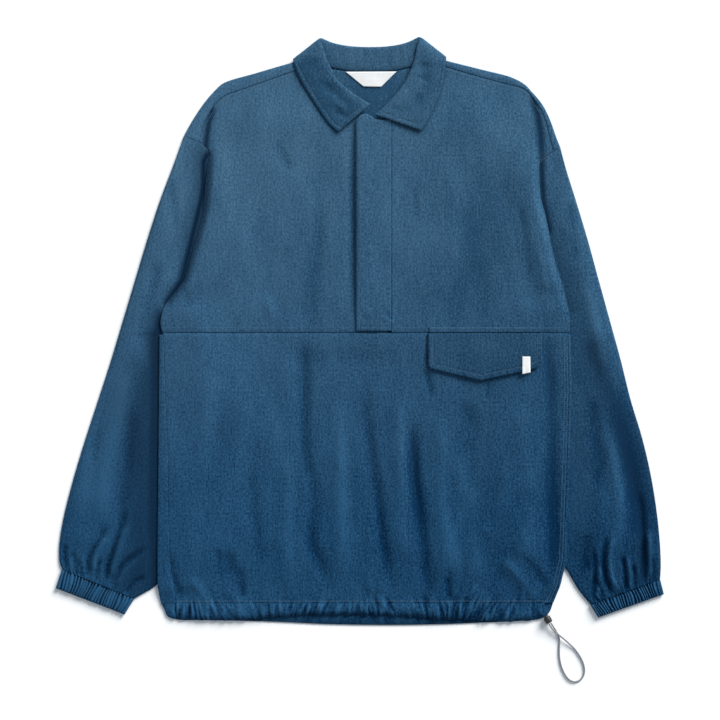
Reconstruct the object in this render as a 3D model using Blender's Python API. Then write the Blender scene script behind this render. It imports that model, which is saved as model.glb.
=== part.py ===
"""A pullover overshirt of blue cotton, laid flat on its back.

The shirt lies on z = 0 with its neck towards +Y, and is seen from +Z. Left is -X and right is +X.
It is a half-placket shirt: a back that turns over the shoulders, two upper fronts and a placket
above a seam at the waist, one lower front with a pocket flap in that seam, a turned-down collar,
two sleeves gathered into ribbed elastic cuffs, and a hem casing with a drawcord and its lock.
Every layer of cloth is a wall between an outer and an inner skin. All sizes are in millimetres.
"""

import math

import bmesh
import bpy
import numpy as np
from mathutils import Vector

MM = 0.001  # a millimetre in metres
CENTRE = (0.45, 2.02, 0.0)  # the middle of the shirt's base, which goes to the origin

# Cloth
CLOTH = 1.0  # one layer of cloth
DOUBLE = 2.0  # two layers sewn together: placket, flap, casing
COLLAR_WALL = 1.6  # two layers and an interlining, pressed
AIR = 1.0  # clear space inside a pressed fold
FOLD = 2 * CLOTH + AIR  # outside height of a pressed fold
GAP = 0.3  # between two pieces that touch
LIFT = FOLD + GAP  # how far a tucked sleeve lifts the body
TENT_START = 26.0  # past the tucked sleeve's edge, where the body starts to come down
TENT_END = 88.0  # and where it is down again
LOFT = 1.6  # how much the front stands off the back in the middle
ARM_RISE = 2.8  # the front's ridge over the armhole seam
PUFF = 1.8  # how much the sleeves fill out
WELD = 1e-5  # metres; corners closer than this are one corner

# Waist seam, between the upper fronts and the lower front
WAIST_Y = -1.0
UNDERLAP_X = 38.0  # how far the left front runs under the placket
PLACKET_LEFT = -5.0
PLACKET_RIGHT = 43.0
CASING_TOP = -366.0  # the stitched top of the hem casing

# The body's sides from the casing up to the waist: the outer fold, and the side seam, which lies
# a little way round on the front because the back's cloth comes round the fold.
SIDES_Y = (-366.0, -342.0, -308.0, -250.0, -190.0, -132.0, -74.0, -38.0, -4.0)
SIDES = {  # y: left fold, left seam, right seam, right fold
    -366.0: (-268.5, -248.0, 258.0, 261.8),
    -342.0: (-273.0, -251.0, 267.8, 271.4),
    -308.0: (-273.2, -256.0, 275.6, 279.3),
    -250.0: (-272.7, -258.0, 277.7, 281.3),
    -162.0: (-271.8, -258.7, 280.8, 284.3),
    -74.0: (-271.0, -262.2, 283.0, 286.6),
    -4.0: (-270.3, -265.0, 281.6, 285.2),
}

# The edge where the front folds over the sleeve, from the waist up: y, x
LEFT_EDGE = (
    (-2.0, -266.0), (12.0, -268.9), (29.7, -265.3), (43.2, -258.1), (67.5, -238.3),
    (118.8, -223.4), (164.7, -211.5), (197.1, -208.6), (223.4, -205.5), (240.0, -203.3),
)
RIGHT_EDGE = (
    (-2.0, 283.5), (12.0, 284.3), (27.7, 282.8), (43.2, 278.8), (56.7, 276.1),
    (101.2, 262.6), (156.6, 251.4), (178.2, 245.4), (205.9, 242.9), (224.0, 243.2),
)

# The armhole seam, from the shoulder point to the armpit
LEFT_ARMHOLE = (
    (-236.9, 265.7), (-226.1, 261.9), (-213.7, 255.4), (-200.5, 242.0), (-194.0, 222.0),
    (-196.4, 197.1), (-201.0, 164.7), (-212.6, 116.1), (-228.8, 64.8), (-245.0, 34.0),
    (-255.8, 13.5),
)
RIGHT_ARMHOLE = (
    (271.4, 249.3), (261.0, 244.1), (249.6, 235.0), (238.3, 222.5), (233.4, 205.2),
    (234.2, 178.2), (239.6, 152.0), (251.8, 101.2), (264.0, 56.7), (273.4, 21.6),
)
ARMHOLE_STEPS = 12
MOUTH_TURN = 4  # the armhole's point that is furthest in

# The shoulders: the outer fold, and the forward seam where the back's cloth ends on the front
LEFT_SHOULDER = (
    (-236.9, 265.7), (-224.0, 288.5), (-208.6, 311.2), (-195.1, 326.7), (-184.3, 336.2),
    (-137.0, 350.6), (-89.1, 364.5), (-72.2, 369.2),
)
LEFT_FORWARD_SEAM = (
    (-210.6, 282.2), (-203.2, 295.7), (-193.1, 310.5), (-180.2, 320.0), (-162.0, 326.7),
    (-124.9, 339.5), (-88.4, 352.4), (-73.5, 357.8),
)
RIGHT_SHOULDER = (
    (103.3, 370.6), (119.5, 365.9), (162.7, 355.1), (206.7, 343.7), (224.5, 333.7),
    (231.0, 326.7), (246.4, 308.5), (256.8, 288.5), (266.1, 262.7), (271.4, 249.3),
)
RIGHT_FORWARD_SEAM = (
    (104.5, 361.8), (119.5, 357.2), (157.3, 346.0), (191.0, 337.1), (217.6, 330.3),
    (227.9, 324.7), (236.1, 313.3), (247.6, 295.8), (254.7, 273.1),
)
SHOULDER_STEPS = 8

# The neckline, which the collar is sewn to: round the back, and down each front
BACK_NECK = (
    (-72.2, 369.2), (-64.0, 361.0), (-39.2, 355.8), (-16.0, 352.2), (16.9, 351.4), (48.0, 352.8),
    (69.5, 357.0), (93.0, 361.5), (103.3, 370.6),
)
LEFT_NECK = (
    (-73.5, 357.8), (-68.5, 345.0), (-60.4, 331.0), (-48.0, 319.6), (-31.6, 308.6),
    (-14.0, 299.8), (0.0, 294.2), (20.0, 283.0), (38.0, 281.0),
)
RIGHT_NECK = (
    (43.4, 289.6), (58.8, 297.0), (76.6, 310.8), (91.8, 329.0), (100.6, 346.5), (104.5, 361.8),
)
NECK_STEPS = 8

# The sleeves' edges: the outer one from the shoulder point, the inner one from the armpit. The
# inner edge is tucked under the body, and comes out again just above the cuff.
LEFT_SLEEVE_OUTER = (
    (-236.9, 265.7), (-250.4, 228.2), (-269.3, 178.2), (-286.9, 124.2), (-303.1, 70.2),
    (-319.3, 16.2), (-335.5, -37.8), (-353.0, -91.8), (-370.6, -145.8), (-386.8, -199.8),
    (-400.3, -253.8), (-405.7, -290.0), (-405.0, -312.0), (-401.9, -320.2),
)
LEFT_SLEEVE_INNER = (
    (-255.8, 13.5), (-247.7, -10.8), (-222.1, -51.3), (-207.2, -105.3), (-208.6, -172.8),
    (-222.1, -240.3), (-245.0, -301.1), (-274.7, -342.1), (-291.9, -353.0), (-304.4, -360.2),
)
RIGHT_SLEEVE_OUTER = (
    (271.4, 249.3), (278.8, 221.4), (292.3, 178.2), (308.5, 124.2), (323.3, 70.2),
    (338.2, 16.2), (353.0, -37.8), (366.5, -91.8), (382.7, -145.8), (394.9, -199.8),
    (403.0, -253.8), (406.8, -300.0), (407.0, -322.0), (406.1, -334.1),
)
RIGHT_SLEEVE_INNER = (
    (273.4, 21.6), (265.3, -10.8), (236.9, -51.3), (219.4, -105.3), (219.4, -172.8),
    (232.9, -233.6), (254.5, -287.6), (278.8, -320.0), (296.3, -348.8), (312.0, -368.3),
)
ARMPIT_LENGTH = 245.0  # along the outer edge, level with the armpit
TUCK_STEPS = 12  # from the armpit to the cuff
SLEEVE_COLUMNS = 16  # across the top
UNDER_EVERY = 4  # the underside has one column in this many
SLEEVE_GATHERS = 8  # soft pleats above each cuff
GATHER_DEPTH = 0.9

# The cuffs: outer and inner corner at the sleeve, outer and inner corner at the hand
LEFT_CUFF = ((-401.9, -320.5), (-304.4, -360.5), (-410.3, -346.0), (-317.4, -381.6))
RIGHT_CUFF = ((406.1, -334.4), (312.0, -368.6), (411.2, -354.0), (322.4, -385.6))
CUFF_RIBS = 18
CUFF_EDGE = 2.2  # from a cuff's side fold to its first rib
CUFF_WALL = 2.0
CUFF_AIR = 2.5
RIB_HEIGHT = 1.2
RIB_STEPS = 3  # points for each rib
CUFF_ROWS = 4

# Hem: the edge of the front casing, and of the back one that shows below it
FRONT_HEM = (
    (-247.6, -387.9), (-207.2, -388.8), (-160.0, -388.8), (-112.7, -384.6), (-65.5, -382.4),
    (14.2, -382.1), (62.8, -384.1), (119.5, -387.9), (166.7, -389.7), (195.1, -391.0),
    (223.4, -389.8), (240.0, -388.0), (250.0, -384.0),
)
BACK_HEM = (
    (-264.0, -374.0), (-259.5, -384.0), (-247.6, -388.3), (-207.2, -389.4), (-160.0, -390.2),
    (-112.7, -391.5), (-46.6, -394.5), (14.2, -395.6), (62.8, -395.6), (119.5, -394.5),
    (166.7, -392.6), (195.1, -391.6), (223.4, -390.0), (240.0, -388.4), (250.0, -384.8),
    (257.0, -378.0),
)
HEM_PUCKERS = 44
PUCKER_HEIGHT = 0.8

# The main folds of the lower front: two ends, half width, and height (a trough is negative)
LOWER_FOLDS = (
    # x1, y1, x2, y2, half width, height
    (64.0, -123.0, 91.0, -344.0, 15.0, -1.2),
    (45.0, -186.0, 72.0, -335.0, 12.0, 1.1),
    (-26.0, -96.0, -37.0, -298.0, 14.0, 0.8),
    (-58.0, -200.0, -49.0, -344.0, 12.0, -1.2),
    (-103.0, -177.0, -90.0, -344.0, 12.0, 0.9),
    (-13.0, -28.0, 14.0, -209.0, 15.0, -0.5),
    (253.0, -182.0, 270.0, -317.0, 12.0, -0.9),
    (91.0, -55.0, 95.0, -88.0, 10.0, -0.8),
    (-247.0, -328.0, -240.0, -366.0, 10.0, -0.8),
    (-190.0, -310.0, -184.0, -345.0, 10.0, -0.7),
)

# The collar's sections, from the left wing's front end round the back to the right wing's. Each
# has its point on the neckline, its point on the roll and its point on the outer edge. `front` is
# 1 where the fall lies on the fronts, 0 where it lies on the floor under the back, and between
# where the collar turns over the shoulder.
COLLAR = (
    # neck x, y, roll x, y, edge x, y, front, extra height of the edge
    (1.0, 297.4, 13.8, 306.5, -29.0, 270.0, 1.0, 0.6),
    (-12.2, 302.6, 1.2, 314.6, -38.6, 278.0, 1.0, 0.2),
    (-29.8, 311.4, -14.2, 325.4, -48.5, 290.5, 1.0, 0.0),
    (-46.0, 322.2, -29.8, 338.9, -60.8, 309.6, 1.0, 0.0),
    (-58.2, 333.2, -39.2, 356.4, -76.3, 334.8, 1.0, 0.0),
    (-66.0, 346.2, -45.2, 368.6, -84.2, 350.0, 1.0, 0.2),
    (-69.6, 357.5, -49.5, 382.0, -88.2, 360.4, 1.0, 0.5),
    (-70.2, 365.5, -52.2, 391.6, -89.2, 367.0, 0.8, 0.0),
    (-69.3, 370.4, -53.0, 395.8, -88.8, 368.8, 0.5, 0.0),
    (-66.4, 369.4, -51.4, 396.2, -87.0, 369.0, 0.2, 0.0),
    (-62.6, 366.4, -47.4, 394.6, -83.0, 367.8, 0.0, 0.0),
    (-53.6, 361.8, -36.0, 390.0, -66.0, 352.0, 0.0, 0.0),
    (-36.0, 358.0, -18.0, 386.2, -40.0, 342.0, 0.0, 0.0),
    (-14.0, 354.6, 0.0, 384.6, -12.0, 338.0, 0.0, 0.0),
    (17.0, 353.6, 17.0, 384.3, 17.0, 337.0, 0.0, 0.0),
    (47.0, 355.0, 35.0, 385.0, 46.0, 338.0, 0.0, 0.0),
    (67.0, 359.2, 52.0, 387.3, 71.0, 342.0, 0.0, 0.0),
    (84.0, 363.0, 66.0, 391.2, 95.0, 353.0, 0.0, 0.0),
    (93.6, 367.4, 75.4, 395.6, 109.6, 370.4, 0.0, 0.0),
    (97.8, 371.4, 79.6, 397.6, 113.6, 372.2, 0.2, 0.0),
    (100.6, 373.0, 81.6, 397.4, 115.8, 371.8, 0.5, 0.0),
    (101.6, 367.4, 80.8, 393.4, 116.6, 369.6, 0.8, 0.0),
    (101.2, 359.4, 78.0, 385.0, 115.8, 361.4, 1.0, 0.5),
    (97.4, 347.0, 74.9, 369.9, 113.5, 344.0, 1.0, 0.2),
    (89.4, 330.6, 67.8, 349.7, 108.0, 322.0, 1.0, 0.0),
    (75.0, 313.0, 55.4, 328.1, 100.6, 305.1, 1.0, 0.4),
    (57.4, 299.6, 38.5, 308.6, 94.4, 291.0, 1.0, 0.8),
    (41.6, 291.8, 28.6, 298.6, 88.8, 280.5, 1.0, 1.0),
    (29.6, 287.9, 20.9, 293.4, 83.0, 271.9, 1.0, 1.2),
)
COLLAR_STEP = 9.0  # between its rows
COLLAR_FLOOR = 1.1  # height of the middle of its wall under the back
COLLAR_LIFT = 2.4  # how far it lifts the back
COLLAR_SPACING = 1.2  # half the distance between stand and fall at the roll
ROLL_REACH = 5.0  # how far the roll's round part reaches from its line

# The placket's top, column by column: x, y
PLACKET_TOP = (
    (-5.0, 280.0), (-3.6, 286.0), (-0.6, 290.6), (4.0, 293.4), (9.0, 294.2), (13.5, 292.6),
    (17.5, 288.4), (21.5, 284.4), (29.6, 285.2), (37.0, 286.6), (43.0, 289.2),
)

# Pocket flap, its edge column by column: x, y. The welt is the strip above the seam.
FLAP_EDGE = (
    (92.2, -43.0), (94.6, -49.2), (118.0, -54.9), (141.0, -60.3), (163.2, -65.5),
    (186.0, -60.6), (208.0, -56.0), (230.2, -51.3), (241.6, -46.4), (246.1, -40.5),
)
FLAP_DROOP = 0.5  # how far the flap's edge stands off the front
WELT_X = (93.4, 246.0)
WELT_Y = (0.6, 6.6)
# A folded ribbon on the flap's edge, and a label in the neck: corners x, y
TAB_CORNERS = ((219.1, -33.2), (229.9, -33.2), (230.2, -54.6), (219.1, -57.0))
TAB_WALL = 0.6
LABEL_TOP = ((-19.0, 349.6), (50.0, 350.4))
LABEL_FOOT = ((5.8, 331.5), (29.0, 331.0))
LABEL_WALL = 0.6

# Cord lock: a plastic barrel with a push button, at the hem's right corner
LOCK_CENTRE = (254.4, -388.55, 5.4)
LOCK_AXIS = (0.5, -0.8660254, 0.0)  # from the hem towards the loop
LOCK_PROFILE = (  # along the axis, radius
    (-5.8, 3.0), (-3.2, 3.2), (-3.2, 4.6), (-2.4, 5.2), (3.2, 5.2), (4.8, 4.4), (5.6, 3.4),
)
LOCK_SEGMENTS = 16

# Drawcord: the loop on the floor, from one hole of the lock round to the other
CORD_DIAMETER = 2.2
CORD_STEP = 5.0  # between the curve's points
CORD_ROUTE = (
    (258.63, -392.98, 5.40), (261.60, -397.90, 4.30), (265.40, -403.40, 2.10),
    (268.60, -409.60, 1.20), (270.20, -417.00, 1.20), (269.90, -427.00, 1.20),
    (270.20, -438.80, 1.20), (272.60, -451.20, 1.20), (277.60, -462.60, 1.20),
    (284.00, -470.20, 1.20), (291.00, -472.60, 1.20), (298.20, -470.40, 1.20),
    (302.90, -463.80, 1.20), (304.00, -455.60, 1.20), (302.00, -446.80, 1.20),
    (297.60, -437.80, 1.20), (290.60, -428.20, 1.25), (281.60, -419.40, 2.50),
    (272.60, -411.80, 4.00), (265.00, -405.40, 4.60), (259.60, -399.90, 5.10),
    (256.12, -394.43, 5.40),
)

COLOURS = {  # red, green, blue, roughness
    "upper_cotton": (0.034, 0.095, 0.165, 0.9),
    "lower_cotton": (0.016, 0.060, 0.130, 0.9),
    "white_ribbon": (0.85, 0.85, 0.85, 0.7),
    "black_plastic": (0.02, 0.02, 0.02, 0.4),
    "grey_cord": (0.45, 0.46, 0.47, 0.8),
}


# ---------------------------------------------------------------- curves and heights

def blend(value, start, end):
    """0 at start and before it, 1 at end and after it, smooth between; start may be the larger."""
    t = min(max((value - start) / (end - start), 0.0), 1.0)
    return t * t * (3 - 2 * t)


def curve_through(points, per_span=12):
    """A smooth curve through the points (centripetal Catmull-Rom), as closely spaced points."""
    given = [np.array(p, float) for p in points]
    padded = [2 * given[0] - given[1], *given, 2 * given[-1] - given[-2]]
    line = []
    for p0, p1, p2, p3 in zip(padded, padded[1:], padded[2:], padded[3:]):
        t1 = math.sqrt(np.linalg.norm(p1 - p0))
        t2 = t1 + math.sqrt(np.linalg.norm(p2 - p1))
        t3 = t2 + math.sqrt(np.linalg.norm(p3 - p2))
        for t in np.linspace(t1, t2, per_span, endpoint=False):
            a1 = (t1 - t) / t1 * p0 + t / t1 * p1
            a2 = (t2 - t) / (t2 - t1) * p1 + (t - t1) / (t2 - t1) * p2
            a3 = (t3 - t) / (t3 - t2) * p2 + (t - t2) / (t3 - t2) * p3
            b1 = (t2 - t) / t2 * a1 + t / t2 * a2
            b2 = (t3 - t) / (t3 - t1) * a2 + (t - t1) / (t3 - t1) * a3
            line.append((t2 - t) / (t2 - t1) * b1 + (t - t1) / (t2 - t1) * b2)
    line.append(given[-1])
    return np.array(line)


def at_lengths(line, lengths):
    """The points of a line at these distances from its start."""
    steps = np.linalg.norm(np.diff(line, axis=0), axis=1)
    along = np.concatenate([[0.0], np.cumsum(steps)])
    return np.stack([np.interp(lengths, along, line[:, k]) for k in range(line.shape[1])], axis=1)


def length_of(line):
    return float(np.linalg.norm(np.diff(line, axis=0), axis=1).sum())


def evenly(points, steps):
    """The smooth curve through the points, cut into equal steps."""
    line = curve_through(points)
    return at_lengths(line, np.linspace(0.0, length_of(line), steps + 1))


def side_row(y):
    """The left fold, left seam, right seam and right fold at height y."""
    rows = sorted(SIDES)
    return [float(np.interp(y, rows, [SIDES[row][k] for row in rows])) for k in range(4)]


def normals_right(points):
    """Unit vectors to the right of travel along a line in the plan."""
    ahead = np.gradient(np.array(points)[:, :2], axis=0)
    ahead /= np.linalg.norm(ahead, axis=1)[:, None]
    return np.stack([ahead[:, 1], -ahead[:, 0]], axis=1)


def shifted(points, distance):
    """A line in the plan, moved to the right of its travel."""
    return points[:, :2] + normals_right(points) * distance


def inner_edge_x(points, y):
    """Where a tucked sleeve's inner edge is at height y."""
    line = sorted((p[1], p[0]) for p in points)
    return float(np.interp(y, [p[0] for p in line], [p[1] for p in line]))


def visible_edge_x(side, y):
    """Where the body's edge is, as seen from above, at height y, on the left (-1) or right (1)."""
    if y < -2.0:
        return side_row(y)[0 if side < 0 else 3]
    rows = LEFT_EDGE if side < 0 else RIGHT_EDGE
    return float(np.interp(y, [r[0] for r in rows], [r[1] for r in rows]))


def lift(x, y):
    """Height of the back's underside: it rises over the tucked sleeves and the collar's fall."""
    left_end = inner_edge_x(LEFT_SLEEVE_INNER, y)
    right_end = inner_edge_x(RIGHT_SLEEVE_INNER, y)
    low = blend(y, CASING_TOP, CASING_TOP + 26.0)
    left = blend(x, left_end + TENT_END, left_end + TENT_START) * blend(y, 48.0, 17.0)
    right = blend(x, right_end - TENT_END, right_end - TENT_START) * blend(y, 56.0, 25.0)
    neck = blend(abs(x - 15.0), 180.0, 134.0) * blend(y, 244.0, 298.0)
    return LIFT * low * max(left, right) + COLLAR_LIFT * neck


def upper(x, y):
    """Height of the top of the upper layer: fronts, shoulders and side turnings."""
    base = lift(x, y)
    across = min(x - visible_edge_x(-1, y), visible_edge_x(1, y) - x)
    middle = blend(across, 4.0, 70.0) * blend(y, 345.0, 290.0)
    ridge = blend(across, -12.0, 0.0) * blend(across, 64.0, 14.0)
    ridge *= blend(y, 304.0, 236.0) * blend(y, 10.0, 45.0)
    height = FOLD + base + LOFT * middle + ARM_RISE * ridge
    for x1, y1, x2, y2, half, rise in LOWER_FOLDS:
        run = np.array((x2 - x1, y2 - y1))
        t = float(np.dot((x - x1, y - y1), run) / np.dot(run, run))
        off = math.hypot(x - x1 - run[0] * t, y - y1 - run[1] * t)
        ends = blend(t, -0.15, 0.25) * blend(t, 1.15, 0.85)
        height += rise * ends * math.exp(-((off / half) ** 2))
    return height


def on_upper(points):
    """Plan points laid on the upper layer."""
    return np.array([(p[0], p[1], upper(p[0], p[1])) for p in points])


def coons(bottom, top, left, right):
    """A grid of plan points inside four edges; left and right run upwards with as many rows."""
    u = np.linspace(0.0, 1.0, len(bottom))
    v = np.linspace(0.0, 1.0, len(left))
    grid = np.zeros((len(left), len(bottom), 2))
    for r, b in enumerate(v):
        for c, a in enumerate(u):
            between = (1 - b) * bottom[c][:2] + b * top[c][:2]
            beside = (1 - a) * left[r][:2] + a * right[r][:2]
            corners = (1 - a) * (1 - b) * bottom[0][:2] + a * (1 - b) * bottom[-1][:2]
            corners = corners + (1 - a) * b * top[0][:2] + a * b * top[-1][:2]
            grid[r, c] = between + beside - corners
    return grid


def raised(grid, height):
    """A grid of plan points with the height that height(x, y) gives each."""
    return np.array([[(p[0], p[1], height(p[0], p[1])) for p in row] for row in grid])


# ---------------------------------------------------------------- solids

def in_metres(points):
    """Points of the tables' plan, moved so that the shirt is centred, in metres."""
    return [(Vector(p) - Vector(CENTRE)) * MM for p in points]


def material_for(name, slot):
    red, green, blue, roughness = COLOURS[slot]
    material = bpy.data.materials.new(f"{name}_{slot}")
    material.use_nodes = True
    shader = material.node_tree.nodes["Principled BSDF"]
    shader.inputs["Base Color"].default_value = (red, green, blue, 1.0)
    shader.inputs["Roughness"].default_value = roughness
    return material


def place(name, data, slot):
    obj = bpy.data.objects.new(name, data)
    bpy.context.scene.collection.objects.link(obj)
    data.materials.append(material_for(name, slot))
    return obj


def closed_piece(name, points, faces, slot):
    """A piece from the corners and faces of a closed body, in millimetres."""
    mesh = bpy.data.meshes.new(name)
    mesh.from_pydata(in_metres(points), [], faces)
    body = bmesh.new()
    body.from_mesh(mesh)
    bmesh.ops.remove_doubles(body, verts=body.verts, dist=WELD)
    bmesh.ops.recalc_face_normals(body, faces=body.faces)
    if body.calc_volume(signed=True) < 0:
        bmesh.ops.reverse_faces(body, faces=body.faces)
    body.to_mesh(mesh)
    body.free()
    return place(name, mesh, slot)


def grid_faces(rows, columns, start=0):
    """Quads of a grid whose corners are numbered row by row from start."""
    faces = []
    for r in range(rows - 1):
        for c in range(columns - 1):
            a = start + r * columns + c
            faces.append((a, a + 1, a + 1 + columns, a + columns))
    return faces


def cloth_piece(name, patches, slot, wall=CLOTH, outward_up=True):
    """A wall of cloth whose outer skin is these grids, joined where they share corners."""
    points, faces = [], []
    for patch in patches:
        rows, columns = len(patch), len(patch[0])
        quads = grid_faces(rows, columns, len(points))
        faces += quads if outward_up else [quad[::-1] for quad in quads]
        points += [p for row in patch for p in row]
    mesh = bpy.data.meshes.new(name)
    mesh.from_pydata(in_metres(points), [], faces)
    skin = bmesh.new()
    skin.from_mesh(mesh)
    bmesh.ops.remove_doubles(skin, verts=skin.verts, dist=WELD)
    skin.to_mesh(mesh)
    skin.free()
    obj = place(name, mesh, slot)
    solid = obj.modifiers.new("wall", "SOLIDIFY")
    solid.thickness = wall * MM
    solid.offset = -1.0
    solid.use_even_offset = True
    return obj


def slab_piece(name, grid, bottom, top, slot):
    """A closed slab over a grid of plan points, between two heights that are functions of x, y."""
    rows, columns = len(grid), len(grid[0])
    plan = [p for row in grid for p in row]
    points = [(p[0], p[1], top(p[0], p[1])) for p in plan]
    points += [(p[0], p[1], bottom(p[0], p[1])) for p in plan]
    count = rows * columns
    faces = grid_faces(rows, columns)
    faces += [tuple(count + k for k in quad[::-1]) for quad in grid_faces(rows, columns)]
    rim = list(range(columns))
    rim += [r * columns + columns - 1 for r in range(1, rows)]
    rim += [(rows - 1) * columns + c for c in range(columns - 2, -1, -1)]
    rim += [r * columns for r in range(rows - 2, 0, -1)]
    for a, b in zip(rim, rim[1:] + rim[:1]):
        faces.append((a, a + count, b + count, b))
    return closed_piece(name, points, faces, slot)


# ---------------------------------------------------------------- outlines shared by pieces

def armhole(points, seam_at, under_at):
    """The armhole seam's points: the shoulder, the forward seam's end, where it goes under."""
    line = curve_through(points)
    rest = np.linspace(under_at, length_of(line), ARMHOLE_STEPS - 1)
    return at_lengths(line, np.concatenate([[0.0, seam_at], rest]))


ARMHOLE_L = armhole(LEFT_ARMHOLE, 22.0, 40.0)
ARMHOLE_R = armhole(RIGHT_ARMHOLE, 11.0, 33.0)
SEAM_L = evenly((tuple(ARMHOLE_L[1]), *LEFT_FORWARD_SEAM), SHOULDER_STEPS)
SEAM_R = evenly((*RIGHT_FORWARD_SEAM, tuple(ARMHOLE_R[1])), SHOULDER_STEPS)
SHOULDER_L = evenly(LEFT_SHOULDER, SHOULDER_STEPS)
SHOULDER_R = evenly(RIGHT_SHOULDER, SHOULDER_STEPS)


def fold_over(outline, to_right):
    """The three lines of a pressed fold at an outline: under, at its nose, and on top."""
    inward = normals_right(outline) * (1.0 if to_right else -1.0)
    inset = outline[:, :2] + inward * FOLD / 2
    under = np.array([(p[0], p[1], lift(p[0], p[1])) for p in inset])
    on_top = under + (0.0, 0.0, FOLD)
    nose = np.column_stack([outline[:, :2], (under[:, 2] + on_top[:, 2]) / 2])
    return under, nose, on_top


# ---------------------------------------------------------------- pieces

def make_back():
    """The back, with its turnings over the shoulders and round the sides."""
    rows = [side_row(y) for y in SIDES_Y]
    left_fold = np.array([(row[0], y) for row, y in zip(rows, SIDES_Y)])
    right_fold = np.array([(row[3], y) for row, y in zip(rows, SIDES_Y)])
    left_lines = fold_over(left_fold, True)
    right_lines = fold_over(right_fold, False)
    shoulder_left = fold_over(SHOULDER_L, True)
    shoulder_right = fold_over(SHOULDER_R, True)
    left = np.vstack([left_lines[0][:, :2], ARMHOLE_L[:0:-1], shoulder_left[0][:1, :2]])
    right = np.vstack([right_lines[0][:, :2], ARMHOLE_R[:0:-1], shoulder_right[0][-1:, :2]])
    neck = evenly(BACK_NECK, NECK_STEPS)[1:-1]
    top = np.vstack([shoulder_left[0][:, :2], neck, shoulder_right[0][:, :2]])
    bottom_x = np.linspace(left[0][0], right[0][0], len(top))
    bottom = np.array([(x, CASING_TOP) for x in bottom_x])
    main = raised(coons(bottom, top, left, right), lift)
    count = len(SIDES_Y)
    columns = SHOULDER_STEPS + 1

    def side_turning(lines, seam_index, edge_first):
        seam = [(row[seam_index], y, upper(row[seam_index], y)) for row, y in zip(rows, SIDES_Y)]
        strips = [main[:count, 0 if not edge_first else -1], lines[1], lines[2], np.array(seam)]
        if not edge_first:
            strips = strips[::-1]
        return np.stack(strips, axis=1)

    def shoulder_turning(edge, lines, seam):
        return np.stack([edge, lines[1], lines[2], on_upper(seam)])

    patches = [
        main,
        side_turning(left_lines, 1, False),
        side_turning(right_lines, 2, True),
        shoulder_turning(main[-1, :columns], shoulder_left, SEAM_L),
        shoulder_turning(main[-1, -columns:], shoulder_right, SEAM_R),
    ]
    cloth_piece("back", patches, "upper_cotton", outward_up=False)


def curled_edge(grid, column, to_right, rows):
    """A short strip that rolls a front's edge down onto the sleeve."""
    edge = grid[:rows, column]
    outward = -normals_right(edge) * (1.0 if to_right else -1.0)
    nose = edge.copy()
    nose[:, :2] += outward * CLOTH * 1.4
    nose[:, 2] -= CLOTH * 1.2
    foot = nose.copy()
    foot[:, :2] += outward * 0.1
    for point in foot:
        point[2] = max(FOLD + GAP, lift(point[0], point[1]) + CLOTH + GAP)
    foot[:, 2] = np.minimum(foot[:, 2], nose[:, 2] - 0.3)
    strips = [foot, nose, edge] if to_right else [edge, nose, foot]
    return np.stack(strips, axis=1)


def make_front_left():
    """The left upper front; its middle edge runs under the placket."""
    inset = CLOTH * 1.5
    edge = evenly([(x + inset, y) for y, x in LEFT_EDGE], 12)
    corner = shifted(ARMHOLE_L, -GAP)[2:0:-1]
    left = np.vstack([edge, corner])
    seam = SEAM_L[1:] + (0.0, -GAP)
    top = np.vstack([left[-1:], seam, evenly(LEFT_NECK, NECK_STEPS)[1:] + (0.0, -GAP)])
    bottom_x = np.linspace(left[0][0], UNDERLAP_X, len(top))
    bottom = np.array([(x, WAIST_Y + GAP / 2) for x in bottom_x])
    left[0][1] = WAIST_Y + GAP / 2
    right = np.array([(UNDERLAP_X, y) for y in np.linspace(bottom[-1][1], top[-1][1], len(left))])

    def height(x, y):
        return upper(x, y) - DOUBLE / 2 * blend(x, PLACKET_LEFT - 24.0, PLACKET_LEFT - 4.0)

    grid = raised(coons(bottom, top, left, right), height)
    patches = [grid, curled_edge(grid, 0, True, len(edge))]
    cloth_piece("front_left", patches, "upper_cotton")


def make_front_right():
    """The right upper front, from the placket's stitched edge to the right armhole."""
    inset = CLOTH * 1.5
    edge = evenly([(x - inset, y) for y, x in RIGHT_EDGE], 12)
    corner = shifted(ARMHOLE_R, GAP)[2:0:-1]
    right = np.vstack([edge, corner])
    seam = SEAM_R[:-1] + (0.0, -GAP)
    top = np.vstack([evenly(RIGHT_NECK, NECK_STEPS)[:-1] + (0.0, -GAP), seam, right[-1:]])
    left_x = PLACKET_RIGHT + GAP
    top[0][0] = left_x
    bottom_x = np.linspace(left_x, right[0][0], len(top))
    bottom = np.array([(x, WAIST_Y + GAP / 2) for x in bottom_x])
    right[0][1] = WAIST_Y + GAP / 2
    left = np.array([(left_x, y) for y in np.linspace(bottom[0][1], top[0][1], len(right))])
    grid = raised(coons(bottom, top, left, right), upper)
    patches = [grid, curled_edge(grid, -1, False, len(edge))]
    cloth_piece("front_right", patches, "upper_cotton")


def make_front_lower():
    """The lower front, with its main folds, from the waist seam to the casing."""
    heights = np.linspace(CASING_TOP + GAP / 2, WAIST_Y - GAP / 2, 17)
    rows = [side_row(y) for y in heights]
    grid = []
    for row, y in zip(rows, heights):
        across = np.linspace(row[1] + GAP, row[2] - GAP, 30)
        grid.append([(x, y) for x in across])
    cloth_piece("front_lower", [raised(np.array(grid), upper)], "lower_cotton")


def make_placket():
    """A doubled strip with a rounded top, over the left front's edge."""
    foot = WAIST_Y + 2.5
    grid = []
    for t in np.linspace(0.0, 1.0, 9) ** 0.8:
        grid.append([(x, foot + (y - foot) * t) for x, y in PLACKET_TOP])
    low = GAP - DOUBLE / 2
    slab_piece(
        "placket", np.array(grid),
        lambda x, y: upper(x, y) + low, lambda x, y: upper(x, y) + low + DOUBLE,
        "upper_cotton",
    )


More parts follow.
